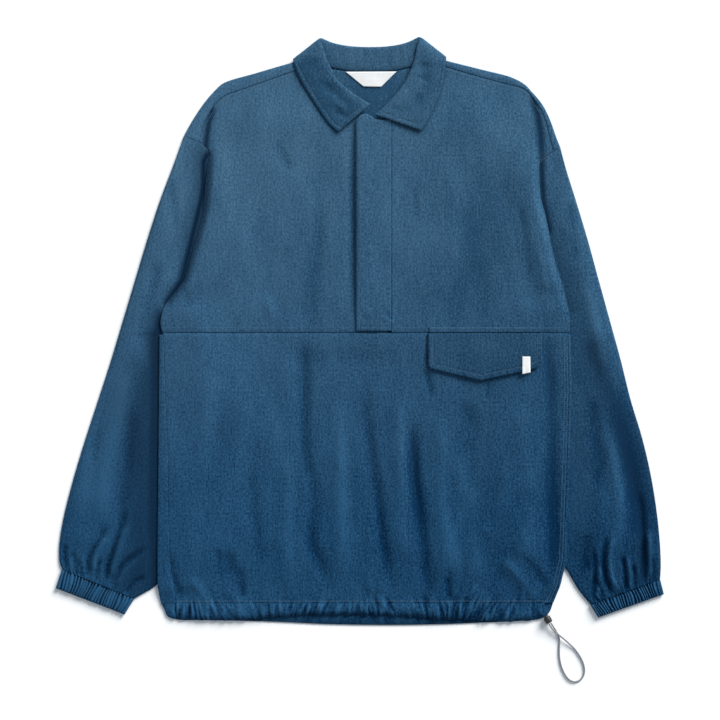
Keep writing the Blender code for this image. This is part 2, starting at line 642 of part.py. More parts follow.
def make_pocket():
    """Welt above the waist seam, and the flap below it with its ribbon tab."""
    across = np.linspace(WELT_X[0], WELT_X[1], 10)
    welt = np.array([[(x, y) for x in across] for y in WELT_Y])
    slab_piece(
        "pocket_welt", welt, lambda x, y: upper(x, y) + GAP,
        lambda x, y: upper(x, y) + GAP + CLOTH, "upper_cotton",
    )
    top_y = WAIST_Y - GAP
    flap = [[(x, top_y + (y - top_y) * t) for x, y in FLAP_EDGE] for t in (1.0, 0.75, 0.5, 0.25, 0.0)]

    def flap_low(x, y):
        return upper(x, y) + GAP + FLAP_DROOP * blend(y, top_y, top_y - 30.0)

    slab_piece(
        "pocket_flap", np.array(flap), flap_low,
        lambda x, y: flap_low(x, y) + DOUBLE, "upper_cotton",
    )
    near_left, near_right, far_right, far_left = (np.array(c) for c in TAB_CORNERS)
    tab = []
    for t in np.linspace(0.0, 1.0, 4):
        start = far_left + (near_left - far_left) * t
        end = far_right + (near_right - far_right) * t
        tab.append([start, (start + end) / 2, end])
    rest = DOUBLE + GAP
    slab_piece(
        "flap_tab", np.array(tab), lambda x, y: flap_low(x, y) + rest,
        lambda x, y: flap_low(x, y) + rest + TAB_WALL, "white_ribbon",
    )


def make_sleeve(name, outer, inner, seam, side):
    """A flat tube, open along the armhole, that fills out where the body doesn't lie on it."""
    mouth = shifted(seam, -side * GAP)
    spots = np.linspace(0.0, MOUTH_TURN, SLEEVE_COLUMNS + 1)
    numbers = np.arange(MOUTH_TURN + 1)
    start = np.column_stack([np.interp(spots, numbers, mouth[numbers, k]) for k in (0, 1)])
    inner_line = np.vstack([mouth[MOUTH_TURN:], evenly(inner, TUCK_STEPS)[1:]])
    armpit_row = ARMHOLE_STEPS - MOUTH_TURN
    line = curve_through(outer)
    total = length_of(line)
    above = np.linspace(0.0, ARMPIT_LENGTH, armpit_row + 1)
    below = np.linspace(ARMPIT_LENGTH, total, TUCK_STEPS + 1)[1:]
    lengths = np.concatenate([above, below])
    outer_line = at_lengths(line, lengths)
    outer_line[0] = start[0]
    end = np.linspace(outer_line[-1], inner_line[-1], len(start))
    plan = coons(start, end, outer_line, inner_line)

    def top_height(x, y, u, v):
        outside = side * (x - visible_edge_x(side, y))
        at_cuff = blend(v, 0.93, 1.0)
        free = max(blend(outside, 8.0, 42.0), at_cuff) * blend(v, 0.04, 0.2)
        fill = free * blend(u, 0.0, 0.3) * blend(u, 1.0, 0.8)
        fill = max(fill, 0.8 * at_cuff)
        pleats = GATHER_DEPTH * blend(v, 0.84, 1.0) * math.cos(2 * math.pi * SLEEVE_GATHERS * u)
        return FOLD + PUFF * fill + pleats * blend(u, 0.0, 0.1) * blend(u, 1.0, 0.9)

    over, under, outer_nose, inner_nose = [], [], [], []
    for r, row in enumerate(plan):
        v = lengths[r] / total
        outer_in = row[0] + (row[-1] - row[0]) / np.linalg.norm(row[-1] - row[0]) * FOLD / 2
        inner_in = row[-1]
        if r >= armpit_row:
            inner_in = row[-1] + (row[0] - row[-1]) / np.linalg.norm(row[0] - row[-1]) * FOLD / 2
        tops = [outer_in, *row[1:-1], inner_in]
        across = np.linspace(0.0, 1.0, len(tops))
        over.append([(p[0], p[1], top_height(p[0], p[1], u, v)) for p, u in zip(tops, across)])
        under.append([(p[0], p[1], 0.0) for p in tops[::-UNDER_EVERY]])
        outer_nose.append((row[0][0], row[0][1], FOLD / 2))
        inner_nose.append((row[-1][0], row[-1][1], FOLD / 2))
    tube = [[*low, nose, *high] for low, nose, high in zip(under, outer_nose, over)]
    fold = [[high[-1], nose, low[0]] for low, nose, high in zip(under, inner_nose, over)]
    cloth_piece(name, [tube, fold[armpit_row:]], "lower_cotton", outward_up=side > 0)


def make_cuff(name, corners):
    """An elastic cuff: ribs raised on its top over a plain inside, flat underneath."""
    outer_top, inner_top, outer_hand, inner_hand = (np.array(c) for c in corners)
    columns = CUFF_RIBS * RIB_STEPS
    inside_high = CUFF_WALL + CUFF_AIR
    height = inside_high + CUFF_WALL
    middle = height / 2

    def ring(start, end, fold, edge, top, low):
        """Round the cuff: one side fold, across the top, the other side fold, back underneath."""
        along = (end - start) / np.linalg.norm(end - start)
        first, last = start + along * edge, end - along * edge
        points = [(*(start + along * fold), middle)]
        for u in np.linspace(0.0, 1.0, columns + 1):
            points.append((*(first + (last - first) * u), top(u)))
        points.append((*(end - along * fold), middle))
        points += [(*(first + (last - first) * u), low) for u in (1.0, 0.5, 0.0)]
        return points

    def ribbed(u):
        return height + RIB_HEIGHT * (0.15 - 0.5 * math.cos(2 * math.pi * CUFF_RIBS * u))

    outside, inside = [], []
    for t in np.linspace(0.0, 1.0, CUFF_ROWS):
        start = outer_top + (outer_hand - outer_top) * t
        end = inner_top + (inner_hand - inner_top) * t
        outside.append(ring(start, end, 0.0, CUFF_EDGE, ribbed, 0.0))
        edge = CUFF_EDGE + CUFF_WALL / 2
        inside.append(ring(start, end, CUFF_WALL, edge, lambda u: inside_high, CUFF_WALL))
    rings = [*outside, inside[-1], inside[0]]
    count = len(outside[0])
    points = [p for points_round in rings for p in points_round]
    faces = []
    for r in range(len(rings)):
        s = (r + 1) % len(rings)
        for c in range(count):
            d = (c + 1) % count
            faces.append((r * count + c, r * count + d, s * count + d, s * count + c))
    closed_piece(name, points, faces, "lower_cotton")


def make_hem_front():
    """The front hem casing, gathered on the drawcord into fine puckers."""
    left_x = SIDES[CASING_TOP][1] + GAP
    right_x = FRONT_HEM[-1][0]
    across = np.linspace(left_x, right_x, 2 * HEM_PUCKERS + 1)
    edge = curve_through(FRONT_HEM)
    low_y = np.interp(across, edge[:, 0], edge[:, 1])
    top_y = CASING_TOP - GAP / 2
    grid = [[(x, top_y + (y - top_y) * t) for x, y in zip(across, low_y)] for t in (1.0, 0.5, 0.0)]

    def top(x, y):
        wave = math.cos(2 * math.pi * HEM_PUCKERS * (x - left_x) / (right_x - left_x))
        return upper(x, y) + 0.4 + PUCKER_HEIGHT / 2 * (1 + wave)

    slab_piece("hem_front", np.array(grid), lambda x, y: upper(x, y) - CLOTH, top, "lower_cotton")


def make_hem_back():
    """The back hem casing, under the front one, with its turning at the left corner."""
    top_y = CASING_TOP - GAP / 2
    right_x = SIDES[CASING_TOP][3] - 0.4
    seam_x = SIDES[CASING_TOP][1] - GAP
    outline = curve_through(((SIDES[CASING_TOP][0], top_y), *BACK_HEM, (right_x, top_y)))
    corner = int(np.argmax(outline[:, 0] > seam_x))
    left = outline[corner::-1]
    left = at_lengths(left, np.linspace(0.0, length_of(left), 6))
    under, nose, on_top = fold_over(left, True)
    rest = outline[corner:]
    low = at_lengths(rest, np.linspace(0.0, length_of(rest) - 10.0, 21))
    low[0] = under[0][:2]
    up = np.array([(x, top_y) for x in np.linspace(under[-1][0], right_x, len(low))])
    right = np.linspace(low[-1], up[-1], len(left))
    under[-1][1] = on_top[-1][1] = nose[-1][1] = top_y - 0.5
    main = raised(coons(low, up, under[:, :2], right), lift)
    seam = on_upper([(seam_x, y) for y in on_top[:, 1]])
    seam[0][0] = on_top[0][0] = min(seam_x, on_top[0][0])
    turning = np.stack([seam, on_top, nose, main[:, 0]], axis=1)
    cloth_piece("hem_back", [main, turning[1:]], "lower_cotton", outward_up=False)


def collar_section(neck_x, neck_y, roll_x, roll_y, edge_x, edge_y, front, extra):
    """Five points across the collar: neck, end of the stand, roll, start of the fall, edge."""
    outward = -1.0 if roll_x < 15.0 else 1.0
    neck, roll, edge = np.array([(neck_x, neck_y), (roll_x, roll_y), (edge_x, edge_y)])
    aside = math.sin(math.pi * front) * outward * COLLAR_SPACING

    def between(on_front, on_back):
        return on_back + (on_front - on_back) * front

    front_stand = upper(neck_x, neck_y) + COLLAR_WALL / 2
    front_edge = upper(edge_x, edge_y) + GAP + COLLAR_WALL / 2 + extra
    stand_z = between(front_stand, lift(neck_x, neck_y) + 1.4)
    fall_z = between(front_stand + 2 * COLLAR_SPACING, COLLAR_FLOOR)
    edge_z = between(front_edge, COLLAR_FLOOR)
    stand = roll + (neck - roll) / np.linalg.norm(neck - roll) * ROLL_REACH
    fall = roll + (edge - roll) / np.linalg.norm(edge - roll) * ROLL_REACH
    return [
        (*neck, stand_z),
        (stand[0] - aside, stand[1], stand_z),
        (*roll, (stand_z + fall_z) / 2),
        (fall[0] + aside, fall[1], fall_z),
        (*edge, edge_z),
    ]


def make_collar():
    """Stand, roll and fall in one sheet, from section to section along the neckline."""
    sections = [collar_section(*row) for row in COLLAR]
    span = 12
    lines = [curve_through([section[k] for section in sections], span) for k in range(5)]
    picks = []
    for start in range(0, len(lines[0]) - 1, span):
        longest = max(length_of(line[start:start + span + 1]) for line in lines)
        steps = max(1, round(longest / COLLAR_STEP))
        picks += [start + round(span * k / steps) for k in range(steps)]
    picks.append(len(lines[0]) - 1)
    patch = np.array([curve_through([line[k] for line in lines], 2) for k in picks])
    patch[:, :, 2] = np.maximum(patch[:, :, 2], COLLAR_FLOOR)
    obj = cloth_piece("collar", [patch], "upper_cotton", wall=COLLAR_WALL)
    obj.modifiers["wall"].offset = 0.0


def make_label():
    """A bare woven label on the inside of the back, below the neck seam."""
    left_top, right_top = (np.array(p) for p in LABEL_TOP)
    left_foot, right_foot = (np.array(p) for p in LABEL_FOOT)
    grid = []
    for t in np.linspace(0.0, 1.0, 4):
        start = left_foot + (left_top - left_foot) * t
        end = right_foot + (right_top - right_foot) * t
        grid.append([start + (end - start) * s for s in np.linspace(0.0, 1.0, 6)])
    slab_piece(
        "neck_label", np.array(grid),
        lambda x, y: lift(x, y) + CLOTH + GAP,
        lambda x, y: lift(x, y) + CLOTH + GAP + LABEL_WALL,
        "white_ribbon",
    )


def make_cord_lock():
    """A turned barrel, its axis level, with its push button towards the hem."""
    axis = Vector(LOCK_AXIS)
    across = axis.cross(Vector((0.0, 0.0, 1.0)))
    centre = Vector(LOCK_CENTRE)
    points = [centre + axis * LOCK_PROFILE[0][0]]
    for along, radius in LOCK_PROFILE:
        for k in range(LOCK_SEGMENTS):
            angle = 2 * math.pi * k / LOCK_SEGMENTS
            ring = across * math.cos(angle) + Vector((0.0, 0.0, 1.0)) * math.sin(angle)
            points.append(centre + axis * along + ring * radius)
    points.append(centre + axis * LOCK_PROFILE[-1][0])
    last = len(points) - 1
    faces = []
    for k in range(LOCK_SEGMENTS):
        n = (k + 1) % LOCK_SEGMENTS
        faces.append((0, 1 + n, 1 + k))
        for ring in range(len(LOCK_PROFILE) - 1):
            a = 1 + ring * LOCK_SEGMENTS
            b = a + LOCK_SEGMENTS
            faces.append((a + k, a + n, b + n, b + k))
        top = 1 + (len(LOCK_PROFILE) - 1) * LOCK_SEGMENTS
        faces.append((last, top + k, top + n))
    closed_piece("cord_lock", points, faces, "black_plastic")


def make_cord():
    """The drawcord's loop, a round cord on the floor that crosses over itself by the lock."""
    line = curve_through(CORD_ROUTE)
    steps = round(length_of(line) / CORD_STEP)
    route = at_lengths(line, np.linspace(0.0, length_of(line), steps + 1))
    curve = bpy.data.curves.new("draw_cord", "CURVE")
    curve.dimensions = "3D"
    curve.bevel_depth = CORD_DIAMETER / 2 * MM
    curve.bevel_resolution = 2
    curve.use_fill_caps = True
    spline = curve.splines.new("POLY")
    spline.points.add(len(route) - 1)
    for point, location in zip(spline.points, in_metres(route)):
        point.co = (*location, 1.0)
    place("draw_cord", curve, "grey_cord")


def build():
    for obj in list(bpy.data.objects):
        bpy.data.objects.remove(obj)
    make_back()
    make_front_left()
    make_front_right()
    make_front_lower()
    make_placket()
    make_pocket()
    make_sleeve("sleeve_left", LEFT_SLEEVE_OUTER, LEFT_SLEEVE_INNER, ARMHOLE_L, -1)
    make_sleeve("sleeve_right", RIGHT_SLEEVE_OUTER, RIGHT_SLEEVE_INNER, ARMHOLE_R, 1)
    make_cuff("cuff_left", LEFT_CUFF)
    make_cuff("cuff_right", RIGHT_CUFF)
    make_hem_front()
    make_hem_back()
    make_collar()
    make_label()
    make_cord_lock()
    make_cord()


build()
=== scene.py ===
"""A pullover overshirt of blue cotton, laid flat on its back and seen from straight above."""

import math

import bmesh
import bpy
import numpy as np
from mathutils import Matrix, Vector, noise
from mathutils.bvhtree import BVHTree


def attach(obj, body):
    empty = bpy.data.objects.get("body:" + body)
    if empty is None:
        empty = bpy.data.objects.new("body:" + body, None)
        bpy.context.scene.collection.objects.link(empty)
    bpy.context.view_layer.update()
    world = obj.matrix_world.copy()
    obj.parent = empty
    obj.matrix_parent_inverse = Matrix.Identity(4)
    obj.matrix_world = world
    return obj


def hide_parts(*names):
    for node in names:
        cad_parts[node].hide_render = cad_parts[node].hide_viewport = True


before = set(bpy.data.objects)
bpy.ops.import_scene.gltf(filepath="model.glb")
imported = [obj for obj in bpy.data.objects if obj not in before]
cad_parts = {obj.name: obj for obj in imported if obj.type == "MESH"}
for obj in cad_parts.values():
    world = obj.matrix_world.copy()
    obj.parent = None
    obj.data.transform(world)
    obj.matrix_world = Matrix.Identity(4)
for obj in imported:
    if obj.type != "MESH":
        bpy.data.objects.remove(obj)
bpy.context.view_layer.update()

bpy.ops.object.select_all(action="DESELECT")

# ---------------------------------------------------------------- camera, light and floor
# The shirt lies on white paper, and the camera looks straight down on it from high up. One broad
# light stands low beyond the right shoulder, and a white room fills its soft shadows.
VIEW_WIDTH = 0.972
VIEW_CENTRE = (0.0002, -0.0398)
CAMERA_HEIGHT = 4.2
SENSOR = 36.0

camera_data = bpy.data.cameras.new("camera")
camera_data.sensor_width = SENSOR
camera_data.lens = SENSOR * CAMERA_HEIGHT / VIEW_WIDTH
camera = bpy.data.objects.new("camera", camera_data)
camera.location = (*VIEW_CENTRE, CAMERA_HEIGHT + 0.006)
bpy.context.collection.objects.link(camera)
bpy.context.scene.camera = camera


LIGHT_HEIGHT = 26.0  # degrees above the floor
LIGHT_FROM = 54.0  # degrees from +X towards +Y

bpy.ops.object.light_add(
    type="SUN", rotation=(math.radians(90.0 - LIGHT_HEIGHT), 0.0, math.radians(90.0 + LIGHT_FROM)))
key = bpy.context.object
key.name = "key"
key.data.energy = 5.5
key.data.angle = math.radians(34.0)
key.data.color = (1.0, 0.985, 0.96)
world = bpy.data.worlds.new("room")
world.use_nodes = True
world.node_tree.nodes["Background"].inputs["Color"].default_value = (0.84, 0.95, 1.06, 1.0)
world.node_tree.nodes["Background"].inputs["Strength"].default_value = 0.42
bpy.context.scene.world = world
bpy.context.scene.view_settings.view_transform = "Standard"

bpy.ops.mesh.primitive_plane_add(size=8.0, location=(0.0, 0.0, -0.0004))
floor = bpy.context.object
floor.name = "floor"
paper = bpy.data.materials.new("white_paper")
paper.use_nodes = True
paper_shader = paper.node_tree.nodes["Principled BSDF"]
paper_shader.inputs["Base Color"].default_value = (0.95, 0.95, 0.95, 1.0)
paper_shader.inputs["Roughness"].default_value = 1.0
paper_shader.inputs["Specular IOR Level"].default_value = 0.0
floor.data.materials.append(paper)
bpy.ops.object.select_all(action="DESELECT")

# ---------------------------------------------------------------- drawcord
# A round braided polyester cord. It comes out of the lock at the hem's right corner, makes one
# loop on the floor and goes back into the lock, crossing over itself close to it.
MM = 0.001
CENTRE = np.array((0.45, 2.02, 0.0))  # the plan's middle, which the part has at its origin
CORD_DIAMETER = 2.2
CORD_ROUTE = (
    (258.63, -392.98, 5.4), (261.6, -397.9, 4.3), (265.4, -403.4, 2.1), (268.6, -409.6, 1.2),
    (270.2, -417, 1.2), (269.9, -427, 1.2), (270.2, -438.8, 1.2), (272.6, -451.2, 1.2),
    (277.6, -462.6, 1.2), (284, -470.2, 1.2), (291, -472.6, 1.2), (298.2, -470.4, 1.2),
    (302.9, -463.8, 1.2), (304, -455.6, 1.2), (302, -446.8, 1.2), (297.6, -437.8, 1.2),
    (290.6, -428.2, 1.25), (281.6, -419.4, 2.5), (272.6, -411.8, 4), (265, -405.4, 4.6),
    (259.6, -399.9, 5.1), (256.12, -394.43, 5.4),
)


def metres(points):
    """Points of the plan, in millimetres, as places in the scene."""
    points = np.asarray(points, float)
    return (points - CENTRE[: points.shape[-1]]) * MM


def smooth_line(points, per_span=12):
    """A smooth curve through the points (centripetal Catmull-Rom), as closely spaced points."""
    given = [np.array(p, float) for p in points]
    padded = [2 * given[0] - given[1], *given, 2 * given[-1] - given[-2]]
    line = []
    for p0, p1, p2, p3 in zip(padded, padded[1:], padded[2:], padded[3:]):
        t1 = math.sqrt(np.linalg.norm(p1 - p0))
        t2 = t1 + math.sqrt(np.linalg.norm(p2 - p1))
        t3 = t2 + math.sqrt(np.linalg.norm(p3 - p2))
        for t in np.linspace(t1, t2, per_span, endpoint=False):
            a1 = (t1 - t) / t1 * p0 + t / t1 * p1
            a2 = (t2 - t) / (t2 - t1) * p1 + (t - t1) / (t2 - t1) * p2
            a3 = (t3 - t) / (t3 - t2) * p2 + (t - t2) / (t3 - t2) * p3
            b1 = (t2 - t) / t2 * a1 + t / t2 * a2
            b2 = (t3 - t) / (t3 - t1) * a2 + (t - t1) / (t3 - t1) * a3
            line.append((t2 - t) / (t2 - t1) * b1 + (t - t1) / (t2 - t1) * b2)
    line.append(given[-1])
    return np.array(line)


def length_of(line):
    return float(np.linalg.norm(np.diff(line, axis=0), axis=1).sum())


def at_lengths(line, lengths):
    """The points of a line at these distances from its start."""
    steps = np.linalg.norm(np.diff(line, axis=0), axis=1)
    along = np.concatenate([[0.0], np.cumsum(steps)])
    return np.stack([np.interp(lengths, along, line[:, k]) for k in range(line.shape[1])], axis=1)


def evenly(points, steps):
    """The smooth curve through the points, cut into equal steps."""
    line = smooth_line(points)
    return at_lengths(line, np.linspace(0.0, length_of(line), steps + 1))


class Socket:
    """A shader socket that can be used in sums; each sum adds its Math node."""

    def __init__(self, tree, socket):
        self.tree, self.socket = tree, socket

    def node(self, kind, settings=(), inputs=(), output=0):
        return add_node(self.tree, kind, settings, inputs, output)

    def math(self, operation, *others):
        return self.node(
            "ShaderNodeMath", {"operation": operation}, dict(enumerate((self, *others)))
        )

    def __add__(self, other):
        return self.math("ADD", other)

    def __sub__(self, other):
        return self.math("SUBTRACT", other)

    def __mul__(self, other):
        return self.math("MULTIPLY", other)

    def __rsub__(self, other):
        return self.math("MULTIPLY", -1.0).math("ADD", other)

    __radd__, __rmul__ = __add__, __mul__

    def between(self, low, high):
        """0 where the value is low or less, 1 where it is high or more."""
        inputs = {"Value": self, "From Min": low, "From Max": high}
        return self.node("ShaderNodeMapRange", {"clamp": True}, inputs)

    def mix(self, first, second):
        """The first colour where the value is 0, the second where it is 1."""
        inputs = {"Factor": self, 6: first, 7: second}
        return self.node("ShaderNodeMix", {"data_type": "RGBA"}, inputs, 2)


def add_node(tree, kind, settings=(), inputs=(), output=0):
    """One node with its settings first and then its inputs, as values or links."""
    made = tree.nodes.new(kind)
    for name, value in dict(settings).items():
        setattr(made, name, value)
    for name, value in dict(inputs).items():
        if isinstance(value, Socket):
            tree.links.new(value.socket, made.inputs[name])
        elif made.inputs[name].type == "RGBA":
            made.inputs[name].default_value = (*value, 1.0)
        else:
            made.inputs[name].default_value = value
    return Socket(tree, made.outputs[output])


def new_material(name, roughness):
    material = bpy.data.materials.new(name)
    material.use_nodes = True
    shader = material.node_tree.nodes["Principled BSDF"]
    shader.inputs["Roughness"].default_value = roughness
    return material, material.node_tree, shader


def braided_cord():
    """Light grey yarns, plaited finely, a little darker between them."""
    material, tree, shader = new_material("grey_cord", 0.75)
    place = add_node(tree, "ShaderNodeTexCoord", output=3)
    grain = place.node("ShaderNodeTexNoise", (), {"Vector": place, "Scale": 900.0, "Detail": 2.0})
    yarn = place.node("ShaderNodeTexVoronoi", {"feature": "F1"}, {"Vector": place, "Scale": 1100.0})
    tone = (grain * 0.5 + yarn * 0.5).between(0.2, 0.7)
    colour = tone.mix((0.34, 0.35, 0.37), (0.14, 0.15, 0.17))
    tree.links.new(colour.socket, shader.inputs["Base Color"])
    plait = {"Height": yarn * -1.0, "Strength": 0.5, "Distance": 0.0004}
    tree.links.new(place.node("ShaderNodeBump", (), plait).socket, shader.inputs["Normal"])
    return material


route = metres(evenly(CORD_ROUTE, 100))
cord_curve = bpy.data.curves.new("drawcord", "CURVE")
cord_curve.dimensions = "3D"
cord_curve.bevel_depth = CORD_DIAMETER / 2 * MM
cord_curve.bevel_resolution = 4
cord_curve.use_fill_caps = True
run = cord_curve.splines.new("POLY")
run.points.add(len(route) - 1)
for point, location in zip(run.points, route):
    point.co = (*location, 1.0)
drawcord = bpy.data.objects.new("drawcord", cord_curve)
bpy.context.collection.objects.link(drawcord)
drawcord.data.materials.append(braided_cord())
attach(drawcord, "root")
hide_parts("draw_cord")

# ---------------------------------------------------------------- back
# The back is one panel of midweight heathered cotton. It turns over both shoulders to a forward
# shoulder seam and a little way round both sides, and rises over the tucked sleeves' edges.
CLOTH = 1.0  # one layer
FOLD = 3.0  # outside height of a pressed fold
GAP = 0.3  # between two pieces that touch
LIFT = FOLD + GAP  # how far a tucked sleeve lifts the body
COLLAR_LIFT = 2.4  # how far the collar's fall lifts the back
CASING_TOP = -366.0
SIDES = (  # y, left fold, left seam, right seam, right fold
    (-366, -268.5, -248, 258, 261.8), (-342, -273, -251, 267.8, 271.4),
    (-308, -273.2, -256, 275.6, 279.3), (-250, -272.7, -258, 277.7, 281.3),
    (-162, -271.8, -258.7, 280.8, 284.3), (-74, -271, -262.2, 283, 286.6),
    (-4, -270.3, -265, 281.6, 285.2),
)
LEFT_ARMHOLE = (  # from the shoulder point to the armpit
    (-236.9, 265.7), (-226.1, 261.9), (-213.7, 255.4), (-200.5, 242), (-194, 222), (-196.4, 197.1),
    (-201, 164.7), (-212.6, 116.1), (-228.8, 64.8), (-245, 34), (-255.8, 13.5),
)
RIGHT_ARMHOLE = (
    (271.4, 249.3), (261, 244.1), (249.6, 235), (238.3, 222.5), (233.4, 205.2), (234.2, 178.2),
    (239.6, 152), (251.8, 101.2), (264, 56.7), (273.4, 21.6),
)
LEFT_SHOULDER = (
    (-236.9, 265.7), (-224, 288.5), (-208.6, 311.2), (-195.1, 326.7), (-184.3, 336.2),
    (-137, 350.6), (-89.1, 364.5), (-72.2, 369.2),
)
LEFT_FORWARD_SEAM = (
    (-210.6, 282.2), (-203.2, 295.7), (-193.1, 310.5), (-180.2, 320), (-162, 326.7),
    (-124.9, 339.5), (-88.4, 352.4), (-73.5, 357.8),
)
RIGHT_SHOULDER = (
    (103.3, 370.6), (119.5, 365.9), (162.7, 355.1), (206.7, 343.7), (224.5, 333.7), (231, 326.7),
    (246.4, 308.5), (256.8, 288.5), (266.1, 262.7), (271.4, 249.3),
)
RIGHT_FORWARD_SEAM = (
    (104.5, 361.8), (119.5, 357.2), (157.3, 346), (191, 337.1), (217.6, 330.3), (227.9, 324.7),
    (236.1, 313.3), (247.6, 295.8), (254.7, 273.1),
)
BACK_NECK = (
    (-72.2, 369.2), (-64, 361), (-39.2, 355.8), (-16, 352.2), (16.9, 351.4), (48, 352.8),
    (69.5, 357), (93, 361.5), (103.3, 370.6),
)
LEFT_SLEEVE_INNER = (
    (-255.8, 13.5), (-247.7, -10.8), (-222.1, -51.3), (-207.2, -105.3), (-208.6, -172.8),
    (-222.1, -240.3), (-245, -301.1), (-274.7, -342.1), (-291.9, -353), (-304.4, -360.2),
)
RIGHT_SLEEVE_INNER = (
    (273.4, 21.6), (265.3, -10.8), (236.9, -51.3), (219.4, -105.3), (219.4, -172.8),
    (232.9, -233.6), (254.5, -287.6), (278.8, -320), (296.3, -348.8), (312, -368.3),
)
LEFT_EDGE = (  # where the front folds over the sleeve, from the waist up
    (-266, -2), (-268.9, 12), (-265.3, 29.7), (-258.1, 43.2), (-238.3, 67.5), (-223.4, 118.8),
    (-211.5, 164.7), (-208.6, 197.1), (-205.5, 223.4), (-203.3, 240),
)
RIGHT_EDGE = (
    (283.5, -2), (284.3, 12), (282.8, 27.7), (278.8, 43.2), (276.1, 56.7), (262.6, 101.2),
    (251.4, 156.6), (245.4, 178.2), (242.9, 205.9), (243.2, 224),
)
LOFT = 6.0  # how much the front stands off the back in the middle
ARM_RISE = 6.0  # the front's ridge over the armhole seam
BACK_GRAIN = 6.0  # spacing of the rows up the sides
CREASE_PAINTED_SHADE = 0.14  # painted shade for each millimetre of a crease's depth, painted light for each of a ridge's height
# the same painted shade and light for each millimetre of the hem's puckers
PUCKER_PAINTED_SHADE = 0.42
COTTON = {  # linear colours of the weft's and the warp's yarn, at the hem and at the shoulders, where they are lighter as painted light
    "hem": ((0.0012, 0.0200, 0.0580), (0.0200, 0.0820, 0.1680)),
    "shoulder": ((0.0160, 0.0600, 0.1180), (0.0620, 0.1420, 0.2280)),
}
FRONT_CREASES = (  # half width, height, points
    (5, -3.4, ((-193, 312), (-200, 296), (-205, 270), (-207, 240))),
    (5, -3.4, ((231, 322), (239, 296), (244.5, 268), (246, 238))),
    (14, -1.8, ((-62, 180), (-62, 100), (-68, 30), (-75, -18))),
    (9, -3.6, ((-75, 12), (-76, -90), (-74, -159), (-62, -220), (-66, -281), (-50, -321),
        (-42, -364))),
    (8, -3.2, ((6, -52), (9, -119), (14, -159), (23, -215), (30, -281), (38.5, -321), (50, -360))),
    (8.5, -5.2, ((69, -112), (71, -159), (73, -200), (79, -240), (85, -281), (88.5, -321),
        (97, -366))),
    (9, -5, ((252, 10), (255, -60), (258, -130), (258, -227), (261, -281), (256, -350))),
    (10, 2.4, ((-26, -70), (-27, -119), (-26, -200), (-25, -281), (-18, -350))),
    (9, 2, ((54, -70), (54, -119), (54, -200), (56, -260), (62, -320))),
    (10, 2.4, ((106, -90), (110, -159), (110, -220), (116, -281), (124, -340))),
    (9, 1.6, ((-98, -150), (-97, -220), (-99, -300), (-96, -360))),
    (12, 1.8, ((152, -200), (154, -281), (160, -340))),
    (12, 1.6, ((226, -220), (226, -281), (214, -330))),
    (12, -1.8, ((136, -92), (148, -119), (146, -170))),
    (28, -1.3, ((120, 330), (124, 260), (132, 200), (128, 110))),
    (28, -1.3, ((-190, -70), (-188, -160), (-184, -250))),
    (16, -1.6, ((-110, -30), (-60, -36), (0, -34), (60, -40))),
    (6, -2.2, ((-256, -300), (-252, -330), (-240, -362))),
    (9, -2.4, ((-186, -290), (-172, -321), (-160, -362))),
    (5, -2.6, ((118, -330), (120, -350), (122, -368))),
    (30, -2.2, ((186, 232), (172, 178), (156, 97), (138, 40), (132, -10))),
    (5, -2, ((-194, -290), (-190, -315), (-184, -338))),
    (4.5, -2, ((-162, -318), (-160, -340), (-158.5, -364))),
    (5, -2.4, ((89.5, -50), (93, -70), (96, -92))),
    (4, -1.4, ((172, -66), (173, -78), (171, -92))),
    (4, 1.4, ((163, -263), (169, -267), (176, -266))),
    (7, 2.5, ((188, -304), (210, -325), (232, -352), (244, -364))),
    (6, -2.2, ((214, -300), (236, -322), (254, -348))),
    (6, 1.7, ((-232, -332), (-218, -346), (-208, -364))),
    (9, 1.5, ((130, -150), (136, -220), (128, -290), (134, -340))),
    (9, -1.4, ((-140, -120), (-146, -190), (-140, -260), (-132, -330))),
    (12, 1.4, ((-200, -40), (-206, -120), (-212, -200))),
    (11, 1.4, ((214, -90), (222, -160), (228, -230))),
    (5, 1.2, ((20, -300), (12, -325), (16, -356))),
    (5, -1.4, ((122, -318), (118, -340), (122, -362))),
    (7, -1.4, ((-117, 256), (-104, 236), (-93, 214))),
    (6, 1.2, ((-131, 54), (-122, 34), (-111, 10))),
    (5, -1.5, ((-240, 62), (-234, 46), (-228, 32))),
    (5, -1.2, ((71, 200), (75, 172), (76, 144))),
    (7, -1.5, ((214, 180), (223, 120), (230, 56))),
    (5, 1.2, ((243, 106), (248, 80), (250, 56))),
    (9, 1.2, ((-150, 190), (-158, 130), (-160, 70))),
    (9, 1.2, ((120, 240), (128, 160), (130, 80))),
    (8, -1, ((-60, 200), (-56, 130), (-60, 60))),
    (6, -3.2, ((-9.5, 284), (-9.5, 200), (-9, 110), (-8, 20))),
    (3, 1.4, ((32, 20), (39, 15), (48, 12))),
    (3, -1, ((-15, -4), (-10, -6.5), (-6, -7.5))),
)


def step(value, start, end):
    """0 at start and before it, 1 at end and after it, smooth between; start may be the larger."""
    t = np.clip((value - start) / (end - start), 0.0, 1.0)
    return t * t * (3 - 2 * t)


def x_on(line, y):
    """Where a line that runs up or down the plan is at height y."""
    rows = np.array(sorted((p[1], p[0]) for p in line))
    return np.interp(y, rows[:, 0], rows[:, 1])


def side_x(y, column):
    """A side's fold or seam at height y: 1 and 4 are the folds, 2 and 3 the seams."""
    rows = np.array(SIDES)
    return np.interp(y, rows[:, 0], rows[:, column])


def edge_x(side, y):
    """The body's edge as seen from above, on the left (-1) or the right (1)."""
    low = side_x(y, 1 if side < 0 else 4)
    high = x_on(LEFT_EDGE if side < 0 else RIGHT_EDGE, y)
    return np.where(y < -2.0, low, high)


